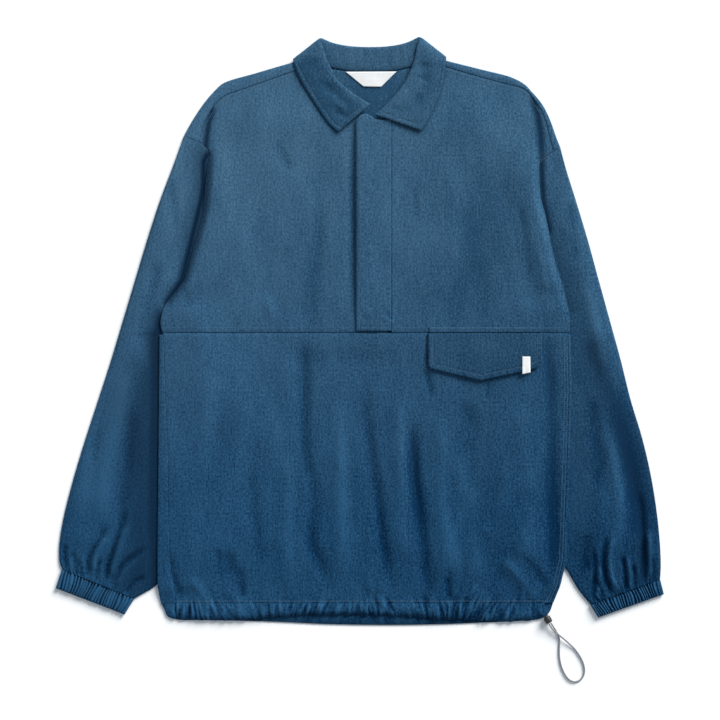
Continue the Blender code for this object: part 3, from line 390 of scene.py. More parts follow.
def distance_to(line, x, y):
    """How far each point of the plan is from a line, and how far along the line it is, 0 to 1."""
    line = np.asarray(line, float)
    start, run = line[:-1], np.diff(line, axis=0)
    spans = np.linalg.norm(run, axis=1)
    along = np.concatenate([[0.0], np.cumsum(spans)])[:-1]
    near, place = np.full(np.shape(x), 1e9), np.zeros(np.shape(x))
    for (sx, sy), (dx, dy), span, before in zip(start, run, spans, along):
        t = np.clip(((x - sx) * dx + (y - sy) * dy) / span**2, 0.0, 1.0)
        away = np.hypot(x - sx - dx * t, y - sy - dy * t)
        place = np.where(away < near, (before + t * span) / spans.sum(), place)
        near = np.minimum(near, away)
    return near, place


def creased(creases, x, y):
    """Soft troughs and ridges that start and end gently and vary in depth along the way."""
    total = np.zeros(np.shape(x))
    for number, (half, height, points) in enumerate(creases):
        away, along = distance_to(smooth_line(points, 4), x, y)
        uneven = 0.8 + 0.2 * np.sin(7.0 * along + 2.4 * number)
        ends = step(along, 0.0, 0.22) * step(along, 1.0, 0.8)
        total += height * uneven * ends * np.exp(-((away / half) ** 2))
    return total


def rumpled(x, y, size, seed, stretch=1.0):
    """Shallow unevenness, about -1 to 1, in patches of this size, longer upwards by stretch."""
    flat = np.stack([np.ravel(x) / size, np.ravel(y) / size / stretch], axis=1)
    values = [noise.noise((a, b, seed)) for a, b in flat]
    return np.array(values).reshape(np.shape(x))


def lift(x, y):
    """The back's underside: it rises over the tucked sleeves and the collar's fall."""
    left_end = x_on(LEFT_SLEEVE_INNER, y)
    right_end = x_on(RIGHT_SLEEVE_INNER, y)
    left = step(x, left_end + 88.0, left_end + 26.0) * step(y, 48.0, 17.0)
    right = step(x, right_end - 88.0, right_end - 26.0) * step(y, 56.0, 25.0)
    neck = step(np.abs(x - 15.0), 180.0, 134.0) * step(y, 244.0, 298.0)
    low = step(y, CASING_TOP, CASING_TOP + 26.0)
    return LIFT * low * np.maximum(left, right) + COLLAR_LIFT * neck


def smooth_top(x, y):
    """The top of the upper layer without its creases."""
    across = np.minimum(x - edge_x(-1, y), edge_x(1, y) - x)
    middle = np.sin(np.pi / 2 * step(across, -20.0, 95.0)) * step(y, 345.0, 250.0)
    middle = middle * (0.45 + 0.55 * step(y, CASING_TOP, CASING_TOP + 90.0))
    ridge = step(across, -2.0, 11.0) * step(across, 52.0, 12.0)
    ridge = ridge * step(y, 270.0, 206.0) * step(y, 4.0, 70.0)
    return FOLD + lift(x, y) + LOFT * middle + ARM_RISE * ridge


def hem_puckers(x, y):
    """The small upright puckers that the drawcord makes in the casing and just above it."""
    leaning = x + 0.5 * (y - CASING_TOP) * np.sin(x / 37.0)
    wave = 2.6 * rumpled(leaning, y, 3.4, 5.3, 5.0) + 1.6 * rumpled(leaning, y, 7.5, 2.9, 3.6)
    uneven = 0.72 + 0.28 * np.sin(x / 19.0 + 1.3 * np.sin(x / 47.0))
    head = CASING_TOP + 22.0 + 9.0 * np.sin(x / 11.0) + 5.0 * np.sin(x / 4.7)
    return wave * uneven * step(y, head, CASING_TOP - 8.0)


def front_top(x, y):
    """The fronts as they lie: creased, rumpled, and gathered above the hem casing."""
    x, y = np.asarray(x, float), np.asarray(y, float)
    across = np.minimum(x - edge_x(-1, y), edge_x(1, y) - x)
    inside = step(across, 0.0, 14.0) * step(y, 350.0, 320.0)
    soft = 1.5 * rumpled(x, y, 52.0, 3.1, 2.4) + 0.45 * rumpled(x, y, 19.0, 8.7, 1.8)
    gathers = 1.2 * hem_puckers(x, y)
    waist = np.exp(-(((y + 1.0) / 8.0) ** 2)) * 0.14 * np.sin(x / 2.1 + np.sin(x / 23.0))
    folds = creased(FRONT_CREASES, x, y) * step(across, -2.0, 12.0)
    height = smooth_top(x, y) + folds + inside * (soft + waist) + gathers
    return np.maximum(height, lift(x, y) + 2 * CLOTH + GAP)


def normals_right(line):
    """Unit vectors to the right of travel along a line in the plan."""
    ahead = np.gradient(np.asarray(line)[:, :2], axis=0)
    ahead /= np.linalg.norm(ahead, axis=1)[:, None]
    return np.stack([ahead[:, 1], -ahead[:, 0]], axis=1)


def shifted(line, distance):
    """A line in the plan, moved to the right of its travel."""
    return line[:, :2] + normals_right(line) * distance


def fold_over(outline, side, steps=6):
    """The strips of a rounded fold along an outline, from underneath to the top. The cloth lies
    to the right (1) or the left (-1) of the outline's travel."""
    inward = normals_right(outline) * side
    inset = outline[:, :2] + inward * FOLD / 2
    under = lift(inset[:, 0], inset[:, 1])
    strips = []
    for angle in np.linspace(-math.pi / 2, math.pi / 2, steps + 1):
        place = outline[:, :2] + inward * FOLD / 2 * (1 - math.cos(angle))
        strips.append(np.column_stack([place, under + FOLD / 2 * (1 + math.sin(angle))]))
    return strips


def graded(length, grain, fine=(0.0, 0.6, 1.3, 2.2, 3.5)):
    """Parts of a length, from 0 to 1, a grain apart and closer together at both ends."""
    inner = np.linspace(fine[-1], length - fine[-1], max(2, round(length / grain)))
    far = [length - d for d in fine[:-1]][::-1]
    return np.concatenate([fine[:-1], inner, far]) / length


def along(line, parts):
    return at_lengths(np.asarray(line, float), np.asarray(parts) * length_of(line))


def coons(bottom, top, left, right, u, v):
    """A grid of plan points inside four edges; left and right run upwards."""
    u, v = u[None, :, None], v[:, None, None]
    between = (1 - v) * bottom[None] + v * top[None]
    beside = (1 - u) * left[:, None] + u * right[:, None]
    corners = (1 - u) * (1 - v) * bottom[0] + u * (1 - v) * bottom[-1]
    return between + beside - corners - (1 - u) * v * top[0] - u * v * top[-1]


def raised(plan, height):
    """A grid of plan points at the heights that height(x, y) gives them."""
    return np.concatenate([plan, height(plan[..., 0], plan[..., 1])[..., None]], axis=-1)


def cotton(name, shade=1.0):
    """Heathered cotton: slubs along the warp, a tight weave, painted shade in folds and at seams.
    """
    material, tree, shader = new_material(name, 0.9)
    weave = add_node(tree, "ShaderNodeUVMap", {"uv_map": "weave"})
    seam = add_node(tree, "ShaderNodeAttribute", {"attribute_name": "seam"}, output=2)
    fold = add_node(tree, "ShaderNodeAttribute", {"attribute_name": "fold"}, output=2)
    place = add_node(tree, "ShaderNodeTexCoord", output=3)
    aside = place.node("ShaderNodeSeparateXYZ", (), {"Vector": place}, 0)
    upwards = place.node("ShaderNodeSeparateXYZ", (), {"Vector": place}, 1)

    def yarn(across, along_warp, detail):
        scale = {"Vector": weave, "Scale": (across, along_warp, 1.0)}
        stretched = weave.node("ShaderNodeMapping", (), scale)
        inputs = {"Vector": stretched, "Scale": 1.0, "Detail": detail, "Roughness": 0.55}
        return weave.node("ShaderNodeTexNoise", {"noise_dimensions": "2D"}, inputs)

    heather = yarn(430.0, 300.0, 1.0)
    slubs = yarn(420.0, 42.0, 1.0)
    flecks = yarn(900.0, 700.0, 1.0)
    cloudy = yarn(34.0, 12.0, 2.0)
    tone = heather * 0.48 + slubs * 0.17 + flecks * 0.2 + cloudy * 0.15
    # painted shade in the creases' troughs and painted light on their ridges, from the fold value,
    # and a painted light falloff that darkens the cloth towards +X
    tone = tone.between(0.5 - 0.18, 0.5 + 0.18) + (fold - 0.5) * 0.9 - aside * 0.5
    tone = tone.between(0.0, 1.0)
    # painted light falloff: the hem's darker colours below, the shoulders' lighter ones above
    painted_falloff = upwards.between(-0.26, 0.24)
    # a shade factor below 1 gives a darker copy of this cloth as painted shade
    dark = painted_falloff.mix(*(tuple(shade * c for c in COTTON[k][0]) for k in ("hem", "shoulder")))
    light = painted_falloff.mix(*(tuple(shade * c for c in COTTON[k][1]) for k in ("hem", "shoulder")))
    colour = tone.mix(dark, light)
    # painted shade along the seams and painted shadows, from the seam value, towards a near-black
    # navy
    painted_line_shade = seam.mix(colour, (0.0025, 0.013, 0.034))
    tree.links.new(painted_line_shade.socket, shader.inputs["Base Color"])
    diagonal = {"Vector": weave, "Scale": 420.0, "Distortion": 2.0, "Detail": 1.0}
    twill = weave.node("ShaderNodeTexWave", {"bands_direction": "DIAGONAL"}, diagonal)
    height = heather * 0.5 + flecks * 0.5 + twill * 0.3
    weave_bump = {"Height": height, "Strength": 0.5, "Distance": 0.0005}
    tree.links.new(weave.node("ShaderNodeBump", (), weave_bump).socket, shader.inputs["Normal"])
    shader.inputs["Sheen Weight"].default_value = 0.03
    shader.inputs["Sheen Roughness"].default_value = 0.5
    shader.inputs["Sheen Tint"].default_value = (0.25, 0.6, 1.0, 1.0)
    shader.inputs["Specular IOR Level"].default_value = 0.03
    return material


def cloth_piece(name, patches, wall=CLOTH, weave=0.0, painted_shade_lines=(), creases=(), flip=False,
                offset=-1.0, material=None, painted_shade_heights=None, puckers=None):
    """A sheet of cloth whose skin is these grids, joined where they share corners, and a wall."""
    points, faces, uvs = [], [], []
    turn = math.radians(weave)
    for patch in patches:
        rows, columns = patch.shape[:2]
        start = sum(len(p) for p in points)
        flat = patch.reshape(-1, 3)
        points.append(flat)
        across = flat[:, 0] * math.cos(turn) + flat[:, 1] * math.sin(turn)
        upwards = flat[:, 1] * math.cos(turn) - flat[:, 0] * math.sin(turn)
        uvs.append(np.column_stack([across, upwards]))
        for r in range(rows - 1):
            for c in range(columns - 1):
                a = start + r * columns + c
                quad = (a, a + 1, a + 1 + columns, a + columns)
                faces.append(quad[::-1] if flip else quad)
    mesh = bpy.data.meshes.new(name)
    mesh.from_pydata(metres(np.vstack(points)).tolist(), [], faces)
    corners = np.empty(len(mesh.loops), int)
    mesh.loops.foreach_get("vertex_index", corners)
    layer = mesh.uv_layers.new(name="weave")
    layer.data.foreach_set("uv", (np.vstack(uvs)[corners] * MM).ravel())
    skin = bmesh.new()
    skin.from_mesh(mesh)
    bmesh.ops.remove_doubles(skin, verts=skin.verts, dist=0.00001)
    skin.to_mesh(mesh)
    skin.free()
    places = np.empty(len(mesh.vertices) * 3)
    mesh.vertices.foreach_get("co", places)
    x, y, z = (places.reshape(-1, 3) / MM + CENTRE).T
    # the seam value: painted shade along each listed line, used for the seams and for painted
    # shadows beside folds and edges
    painted_line_shade = np.zeros(len(x))
    for line, half, depth in painted_shade_lines:
        away, _ = distance_to(line, x, y)
        painted_line_shade = np.maximum(painted_line_shade, depth * np.exp(-((away / half) ** 2)))
    mesh.attributes.new("seam", "FLOAT", "POINT").data.foreach_set("value", painted_line_shade)
    # the fold value: painted shade in the troughs of creases and puckers and painted light on their
    # ridges
    painted_fold_shade = np.clip(0.5 + CREASE_PAINTED_SHADE * creased(creases, x, y), 0.0, 1.0)
    if puckers:
        painted_fold_shade = np.clip(painted_fold_shade + PUCKER_PAINTED_SHADE * puckers(x, y), 0.0, 1.0)
    # or painted shade by height alone, the lower the skin the darker
    if painted_shade_heights:
        painted_fold_shade = 1.25 * step(z, *painted_shade_heights) - 0.15
    mesh.attributes.new("fold", "FLOAT", "POINT").data.foreach_set("value", painted_fold_shade)
    mesh.shade_smooth()
    piece = bpy.data.objects.new(name, mesh)
    bpy.context.collection.objects.link(piece)
    piece.data.materials.append(material or blue_cotton)
    solid = piece.modifiers.new("wall", "SOLIDIFY")
    solid.thickness = wall * MM
    solid.offset = offset
    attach(piece, "root")
    return piece


def line_between(x, low, high):
    return np.array([(x, low), (x, high)])


def sewing_thread():
    """Polyester sewing thread, a shade lighter than the cloth."""
    material, tree, shader = new_material("sewing_thread", 0.6)
    place = add_node(tree, "ShaderNodeTexCoord", output=3)
    ply = place.node("ShaderNodeTexNoise", (), {"Vector": place, "Scale": 1500.0, "Detail": 1.0})
    colour = ply.between(0.3, 0.7).mix((0.045, 0.110, 0.180), (0.085, 0.170, 0.250))
    tree.links.new(colour.socket, shader.inputs["Base Color"])
    return material


# one stitch, 1 mm wide and long: a six-sided bar with rounded ends, drawn out along each seam
bpy.ops.mesh.primitive_cylinder_add(vertices=6, radius=0.5 * MM, depth=0.7 * MM)
one_stitch = bpy.context.object
bpy.ops.object.mode_set(mode="EDIT")
for end in (-1, 1):
    bpy.ops.mesh.select_all(action="DESELECT")
    bar = bmesh.from_edit_mesh(one_stitch.data)
    for face in bar.faces:
        face.select_set(face.normal.z * end > 0.9)
    bmesh.update_edit_mesh(one_stitch.data)
    bpy.ops.mesh.extrude_region_move(TRANSFORM_OT_translate={"value": (0.0, 0.0, 0.15 * end * MM)})
    bpy.ops.transform.resize(value=(0.5, 0.5, 1.0))
bpy.ops.object.mode_set(mode="OBJECT")
STITCH = np.array([v.co for v in one_stitch.data.vertices]) / MM
STITCH_FACES = [tuple(face.vertices) for face in one_stitch.data.polygons]
bpy.data.objects.remove(one_stitch)
STITCH_LENGTH, STITCH_PITCH, THREAD = 2.5, 3.2, 0.55
thread = sewing_thread()


def stitch_row(name, piece, line, over=0.0):
    """A row of stitches along a line of the plan, lying on a piece's skin or this far over it."""
    mesh = piece.data
    skin = BVHTree.FromPolygons([v.co for v in mesh.vertices], [f.vertices for f in mesh.polygons])
    line = np.asarray(line, float)[:, :2]
    points, faces = [], []
    for start in np.arange(1.0, length_of(line) - STITCH_LENGTH - 1.0, STITCH_PITCH):
        ends = []
        for plan in at_lengths(line, [start, start + STITCH_LENGTH]):
            hit = skin.ray_cast(Vector((*metres(plan), 0.1)), Vector((0.0, 0.0, -1.0)))[0]
            ends.append(None if hit is None else np.array((*plan, hit.z / MM + over)))
        if ends[0] is None or ends[1] is None:
            continue
        heading = ends[1] - ends[0]
        aside = np.array((-heading[1], heading[0], 0.0))
        aside /= np.linalg.norm(aside)
        up = np.cross(heading, aside)
        up /= np.linalg.norm(up)
        place = (ends[0] + ends[1]) / 2 + np.outer(STITCH[:, 2], heading)
        place += np.outer(STITCH[:, 0] * THREAD, aside) + np.outer(STITCH[:, 1] * THREAD + 0.1, up)
        first = len(points) * len(STITCH)
        faces += [tuple(first + v for v in face) for face in STITCH_FACES]
        points.append(place)
    sewn = bpy.data.meshes.new(name)
    sewn.from_pydata(metres(np.vstack(points)).tolist(), [], faces)
    row = bpy.data.objects.new(name, sewn)
    bpy.context.collection.objects.link(row)
    whole = bmesh.new()
    whole.from_mesh(sewn)
    bmesh.ops.recalc_face_normals(whole, faces=whole.faces)
    whole.to_mesh(sewn)
    whole.free()
    sewn.shade_smooth()
    sewn.materials.append(thread)
    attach(row, "root")


blue_cotton = cotton("blue_cotton")
left_armhole, right_armhole = smooth_line(LEFT_ARMHOLE), smooth_line(RIGHT_ARMHOLE)
LEFT_SEAM_AT, LEFT_UNDER_AT = 22.0, 40.0  # along the armhole: forward seam's end, going under
RIGHT_SEAM_AT, RIGHT_UNDER_AT = 11.0, 33.0
left_forward = smooth_line((*at_lengths(left_armhole, [LEFT_SEAM_AT]), *LEFT_FORWARD_SEAM))
right_forward = smooth_line((*RIGHT_FORWARD_SEAM, *at_lengths(right_armhole, [RIGHT_SEAM_AT])))
SHOULDER_STEPS, ARM_STEPS, NECK_STEPS = 44, 44, 32

side_y = CASING_TOP + (-4.0 - CASING_TOP) * graded(362.0, BACK_GRAIN)
SIDE_STEPS = len(side_y) - 1
left_fold = fold_over(np.column_stack([side_x(side_y, 1), side_y]), 1)
right_fold = fold_over(np.column_stack([side_x(side_y, 4), side_y]), -1)
left_parts = np.concatenate([(0.0, 0.002, 0.005, 0.01), np.linspace(0.02, 1.0, SHOULDER_STEPS - 3)])
right_parts = 1.0 - left_parts[::-1]
left_shoulder = fold_over(along(smooth_line(LEFT_SHOULDER), left_parts), 1)
right_shoulder = fold_over(along(smooth_line(RIGHT_SHOULDER), right_parts), 1)
arm_parts = np.linspace(1.0, 0.0, ARM_STEPS + 1)
back_left = np.vstack([
    left_fold[0][:, :2], along(left_armhole, arm_parts)[:-1], left_shoulder[0][:1, :2]])
back_right = np.vstack([
    right_fold[0][:, :2], along(right_armhole, arm_parts)[:-1], right_shoulder[0][-1:, :2]])
back_top = np.vstack([
    left_shoulder[0][:, :2], evenly(BACK_NECK, NECK_STEPS)[1:-1], right_shoulder[0][:, :2]])
back_u = np.linspace(0.0, 1.0, len(back_top))
back_foot = np.column_stack([
    np.linspace(back_left[0][0], back_right[0][0], len(back_top)),
    np.full(len(back_top), CASING_TOP)])
back_v = np.linspace(0.0, 1.0, len(back_left))
back_main = raised(coons(back_foot, back_top, back_left, back_right, back_u, back_v), lift)


def turning(strips, seam, first, roll=0.2):
    """A fold's strips and the cloth from its top to a seam, starting from the main panel's edge."""
    top = strips[-1]
    far = raised(seam, front_top)
    far[:, 2] -= roll
    rows = [first, *strips[1:]]
    for t in (0.2, 0.4, 0.6, 0.8, 0.93):
        place = top[:, :2] + (seam - top[:, :2]) * t
        height = top[:, 2] * (1 - t) + front_top(place[:, 0], place[:, 1]) * t
        rows.append(np.column_stack([place, height + 0.5 * math.sin(math.pi * t)]))
    return np.stack([*rows, far])


def turned(strips):
    return np.swapaxes(strips, 0, 1)


left_seam = np.column_stack([side_x(side_y, 2), side_y])
right_seam = np.column_stack([side_x(side_y, 3), side_y])
columns = SHOULDER_STEPS + 1
back_patches = [
    back_main,
    turned(turning(left_fold, left_seam, back_main[: SIDE_STEPS + 1, 0]))[:, ::-1],
    turned(turning(right_fold, right_seam, back_main[: SIDE_STEPS + 1, -1])),
    turning(left_shoulder, along(left_forward, left_parts), back_main[-1, :columns]),
    turning(right_shoulder, along(right_forward, right_parts), back_main[-1, -columns:]),
]
back_neck_line = evenly(BACK_NECK, 20)
back = cloth_piece(
    "back_panel", back_patches, flip=True,
    # painted shade inside the back neck, tinted only and not shaped
    creases=[(38.0, -6.0, ((16.0, 380.0), (16.0, 330.0), (16.0, 270.0)))],
    painted_shade_lines=[(left_seam, 0.7, 0.12), (right_seam, 0.7, 0.2), (left_forward, 0.8, 0.35),
           (right_forward, 0.8, 0.35), (back_neck_line, 0.6, 0.1)],
)
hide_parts("back")

# ---------------------------------------------------------------- lower front
# One wide panel of the same cotton, sewn to the upper fronts at the waist and to the back's
# turnings at both sides, and gathered below on the casing. Its long creases fall from the waist.
WAIST_Y = -1.0


def sewn_down(patch, lines, depth=0.9, reach=2.2):
    """A patch whose surface rolls down towards the seams along these lines."""
    for line in lines:
        away, _ = distance_to(line, patch[..., 0], patch[..., 1])
        patch[..., 2] -= depth * np.exp(-((away / reach) ** 2))
    return patch


lower_left = left_seam.copy() + (GAP / 2, 0.0)
lower_right = right_seam.copy() - (GAP / 2, 0.0)
lower_left[0, 1] = lower_right[0, 1] = CASING_TOP + GAP / 2
lower_left[-1, 1] = lower_right[-1, 1] = WAIST_Y - GAP / 2
lower_bottom = np.array([lower_left[0], lower_right[0]])
lower_top = np.array([lower_left[-1], lower_right[-1]])
waist_line = lower_top + (0.0, GAP / 2)
casing_line = lower_bottom - (0.0, GAP / 2)
LOWER_GRAIN = (2.1, 3.1)  # across and up
lower_u, lower_v = graded(548.0, LOWER_GRAIN[0]), graded(365.0, LOWER_GRAIN[1])
lower_plan = coons(
    along(lower_bottom, lower_u), along(lower_top, lower_u),
    along(lower_left, lower_v), along(lower_right, lower_v), lower_u, lower_v,
)
lower_patch = sewn_down(raised(lower_plan, front_top), [waist_line], 0.6)
lower_patch = sewn_down(lower_patch, [left_seam, right_seam], 0.2)
lower_front = cloth_piece(
    "lower_front_panel", [lower_patch], creases=FRONT_CREASES, puckers=hem_puckers,
    painted_shade_lines=[(waist_line, 0.9, 0.5), (left_seam, 0.7, 0.1),
           (right_seam, 0.7, 0.2)],
)
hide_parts("front_lower")
stitch_row("casing_stitches", lower_front, casing_line[:, :2] + (0.0, 2.6))
for nth, inset in enumerate((2.0, 6.0), 1):
    stitch_row(f"side_stitches_{nth}", lower_front, right_seam[:-1] - (inset, 0.0))

# ---------------------------------------------------------------- upper fronts
# Two panels from the shoulders to the waist, the left one running under the placket. At the
# armholes they fold back over the sleeves and stand up in a soft ridge, and roll down behind it.
LEFT_NECK = (
    (-73.5, 357.8), (-68.5, 345), (-60.4, 331), (-48, 319.6), (-31.6, 308.6), (-14, 299.8),
    (0, 294.2), (20, 283), (38, 281),
)
RIGHT_NECK = (
    (43.4, 289.6), (58.8, 297), (76.6, 310.8), (91.8, 329), (100.6, 346.5), (104.5, 361.8),
)
UNDERLAP_X = 38.0
PLACKET_LEFT, PLACKET_RIGHT = -5.0, 43.0
EDGE_INSET = 1.5
FRONT_GRAIN = 3.0


def curled(patch, column, side, last_y):
    """The strips that roll a front's edge down onto the sleeve, as far up as last_y."""
    edge = patch[patch[:, column, 1] <= last_y, column]
    outward = normals_right(edge) * side
    ending = step(edge[:, 1], last_y, last_y - 14.0)
    foot = np.maximum(LIFT + 0.15, lift(edge[:, 0], edge[:, 1]) + CLOTH + GAP + 0.3)
    drop = np.maximum(edge[:, 2] - foot, 0.3) * (0.25 + 0.75 * ending)
    strips = [edge]
    for out, down in ((0.45, 0.06), (0.8, 0.22), (1.0, 0.45), (0.95, 0.72), (0.8, 1.0)):
        place = edge[:, :2] + outward * EDGE_INSET * out * (0.3 + 0.7 * ending)[:, None]
        strips.append(np.column_stack([place, edge[:, 2] - down * drop]))
    return strips


left_rise = evenly([(x + EDGE_INSET, y) for x, y in LEFT_EDGE], 60)
left_rise[0, 1] = WAIST_Y + GAP / 2
left_corner = shifted(at_lengths(left_armhole, np.linspace(LEFT_UNDER_AT, LEFT_SEAM_AT, 8)), GAP)
left_side = np.vstack([left_rise, left_corner])
left_neck = smooth_line(LEFT_NECK)
left_up = np.vstack([left_side[-1:], left_forward[6:] + (0.0, -GAP), left_neck[6:] + (0.0, -GAP)])
left_u, left_v = graded(330.0, FRONT_GRAIN), graded(290.0, FRONT_GRAIN)
left_foot_end = (UNDERLAP_X, WAIST_Y + GAP / 2)
left_plan = coons(
    along(np.array([left_side[0], left_foot_end]), left_u), along(left_up, left_u),
    along(left_side, left_v), along(np.array([left_foot_end, left_up[-1]]), left_v),
    left_u, left_v,
)


def left_front_top(x, y):
    return front_top(x, y) - 1.0 * step(x, PLACKET_LEFT - 24.0, PLACKET_LEFT - 4.0)


left_patch = sewn_down(raised(left_plan, left_front_top), [waist_line], 0.5)
left_patch = sewn_down(left_patch, [left_forward], 0.25)
left_curl = turned(curled(left_patch, 0, -1, 240.0))[:, ::-1]
front_painted_shade_lines = [  # painted shade along the seams, and painted shadow round the collar's wings, along the armhole folds and the left edge: line, half width, depth
    (waist_line, 0.9, 0.5), (left_forward, 0.8, 0.35), (right_forward, 0.8, 0.35),
    (((-88.0, 362.0), (-76.0, 336.0), (-58.0, 306.0), (-30.0, 269.0)), 5.0, 0.45),
    (((-29.0, 268.0), (-8.0, 287.0), (12.0, 304.0)), 3.5, 0.5),
    (((22.0, 291.0), (50.0, 282.0), (83.0, 270.5)), 4.0, 0.5),
    (((84.0, 271.0), (102.0, 306.0), (115.0, 350.0)), 4.0, 0.3),
    (((-199.0, 300.0), (-204.0, 280.0), (-208.0, 250.0), (-209.0, 222.0)), 4.5, 0.9),
    (((235.0, 314.0), (241.0, 293.0), (245.5, 266.0), (246.5, 235.0)), 5.0, 0.8),
    (LEFT_EDGE[3:], 6.0, 0.7),
]
left_front = cloth_piece(
    "left_upper_front", [left_patch, left_curl], creases=FRONT_CREASES,
    painted_shade_lines=front_painted_shade_lines,
)
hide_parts("front_left")
waist_stitch = WAIST_Y + 6.2
stitch_row("left_waist_stitches", left_front,
           ((left_rise[6, 0] + 1.0, waist_stitch), (PLACKET_LEFT - 1.5, waist_stitch)))
stitch_row("left_shoulder_stitches", left_front, shifted(left_forward, 3.6)[4:-4])

right_rise = evenly([(x - EDGE_INSET, y) for x, y in RIGHT_EDGE], 60)
right_rise[0, 1] = WAIST_Y + GAP / 2
right_corner = shifted(
    at_lengths(right_armhole, np.linspace(RIGHT_UNDER_AT, RIGHT_SEAM_AT, 8)), -GAP)
right_side = np.vstack([right_rise, right_corner])
right_up = np.vstack([
    smooth_line(RIGHT_NECK)[:-6] + (0.0, -GAP), right_forward[:-6] + (0.0, -GAP), right_side[-1:]])
right_up[0, 0] = PLACKET_RIGHT + GAP
right_foot = np.array([(PLACKET_RIGHT + GAP, WAIST_Y + GAP / 2), right_side[0]])
right_u, right_v = graded(300.0, FRONT_GRAIN), graded(290.0, FRONT_GRAIN)
right_plan = coons(
    along(right_foot, right_u), along(right_up, right_u),
    along(np.array([right_foot[0], right_up[0]]), right_v), along(right_side, right_v),
    right_u, right_v,
)
placket_seam = line_between(PLACKET_RIGHT + GAP / 2, WAIST_Y, 288.0)


def right_front_top(x, y):
    """The right front, which comes up to the placket's stitched edge."""
    return front_top(x, y) + 0.9 * step(x, PLACKET_RIGHT + 16.0, PLACKET_RIGHT + 1.0)


right_patch = sewn_down(raised(right_plan, right_front_top), [waist_line], 0.5)
right_patch = sewn_down(right_patch, [right_forward], 0.25)
right_patch = sewn_down(right_patch, [placket_seam], 0.25, 1.2)
right_curl = turned(curled(right_patch, -1, 1, 224.0))
right_front = cloth_piece(
    "right_upper_front", [right_patch, right_curl], creases=FRONT_CREASES,
    painted_shade_lines=front_painted_shade_lines,
)
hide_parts("front_right")
stitch_row("right_waist_stitches", right_front,
           ((PLACKET_RIGHT + 1.5, waist_stitch), (92.0, waist_stitch)))
stitch_row("right_shoulder_stitches", right_front, shifted(right_forward, 3.6)[4:-4])
stitch_row("placket_edge_stitches", right_front,
           line_between(PLACKET_RIGHT + 3.0, WAIST_Y + 8.0, 284.0))

# ---------------------------------------------------------------- placket
# A doubled strip with a rounded top, cut with the right front's edge and lying over the left
# front. Its snaps are hidden inside it and show as three shallow bumps.
DOUBLE = 2.0
PLACKET_TOP = (
    (-5, 280), (-3.6, 286), (-0.6, 290.6), (4, 293.4), (9, 294.2), (13.5, 292.6), (17.5, 290.4),
    (21.5, 287.8), (29.6, 286.6), (37, 286.9), (43, 289.2),
)
SNAPS = ((12.8, 192.4), (13.6, 109.3), (11.5, 25.6))
placket_foot = WAIST_Y + 2.5


def placket_top(x, y):
    """Its free edge stands off the left front, and its stitched edge lies level with the right."""
    free = step(x, 30.0, PLACKET_LEFT) * step(y, WAIST_Y, 60.0)
    height = front_top(x, y) + GAP + DOUBLE / 2 + 1.8 * free
    height -= 0.45 * step(x, 22.0, PLACKET_RIGHT)
    for snap_x, snap_y in SNAPS:
        away = np.hypot(x - snap_x, (y - snap_y) * 0.9)
        height += 0.75 * np.exp(-((away / 4.4) ** 2)) - 0.28 * np.exp(-(((away - 8.2) / 2.4) ** 2))
    crease, _ = distance_to(((33.0, 28.0), (43.0, 19.0), (51.0, 16.0)), x, y)
    return height - 0.5 * np.exp(-((crease / 2.4) ** 2))


placket_up = along(smooth_line(PLACKET_TOP, 6), np.linspace(0.0, 1.0, 34))
placket_u = np.linspace(0.0, 1.0, 34)
placket_v = graded(290.0, 2.4, (0.0, 0.5, 1.1, 1.9, 3.0))
placket_low = np.column_stack([placket_up[:, 0], np.full(34, placket_foot)])
placket_plan = coons(
    placket_low, placket_up, along(np.array([placket_low[0], placket_up[0]]), placket_v),
    along(np.array([placket_low[-1], placket_up[-1]]), placket_v), placket_u, placket_v,
)
placket_free = np.vstack([[(PLACKET_LEFT, placket_foot)], placket_up])
placket_patch = sewn_down(raised(placket_plan, placket_top), [placket_free], 0.9, 1.1)
placket_patch = sewn_down(placket_patch, [placket_seam, placket_low], 0.25, 1.1)
placket_creases = [(2.4, -2.6, ((33.0, 28.0), (43.0, 19.0), (51.0, 16.0)))]
placket = cloth_piece(
    "placket_strip", [placket_patch], wall=DOUBLE, creases=placket_creases,
    painted_shade_lines=[(placket_low, 0.8, 0.5)],
)
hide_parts("placket")
for row_y in (waist_stitch, waist_stitch + 5.5):
    stitch_row(f"placket_foot_stitches_{round(row_y)}", placket,
               ((PLACKET_LEFT + 2.5, row_y), (PLACKET_RIGHT - 1.5, row_y)))

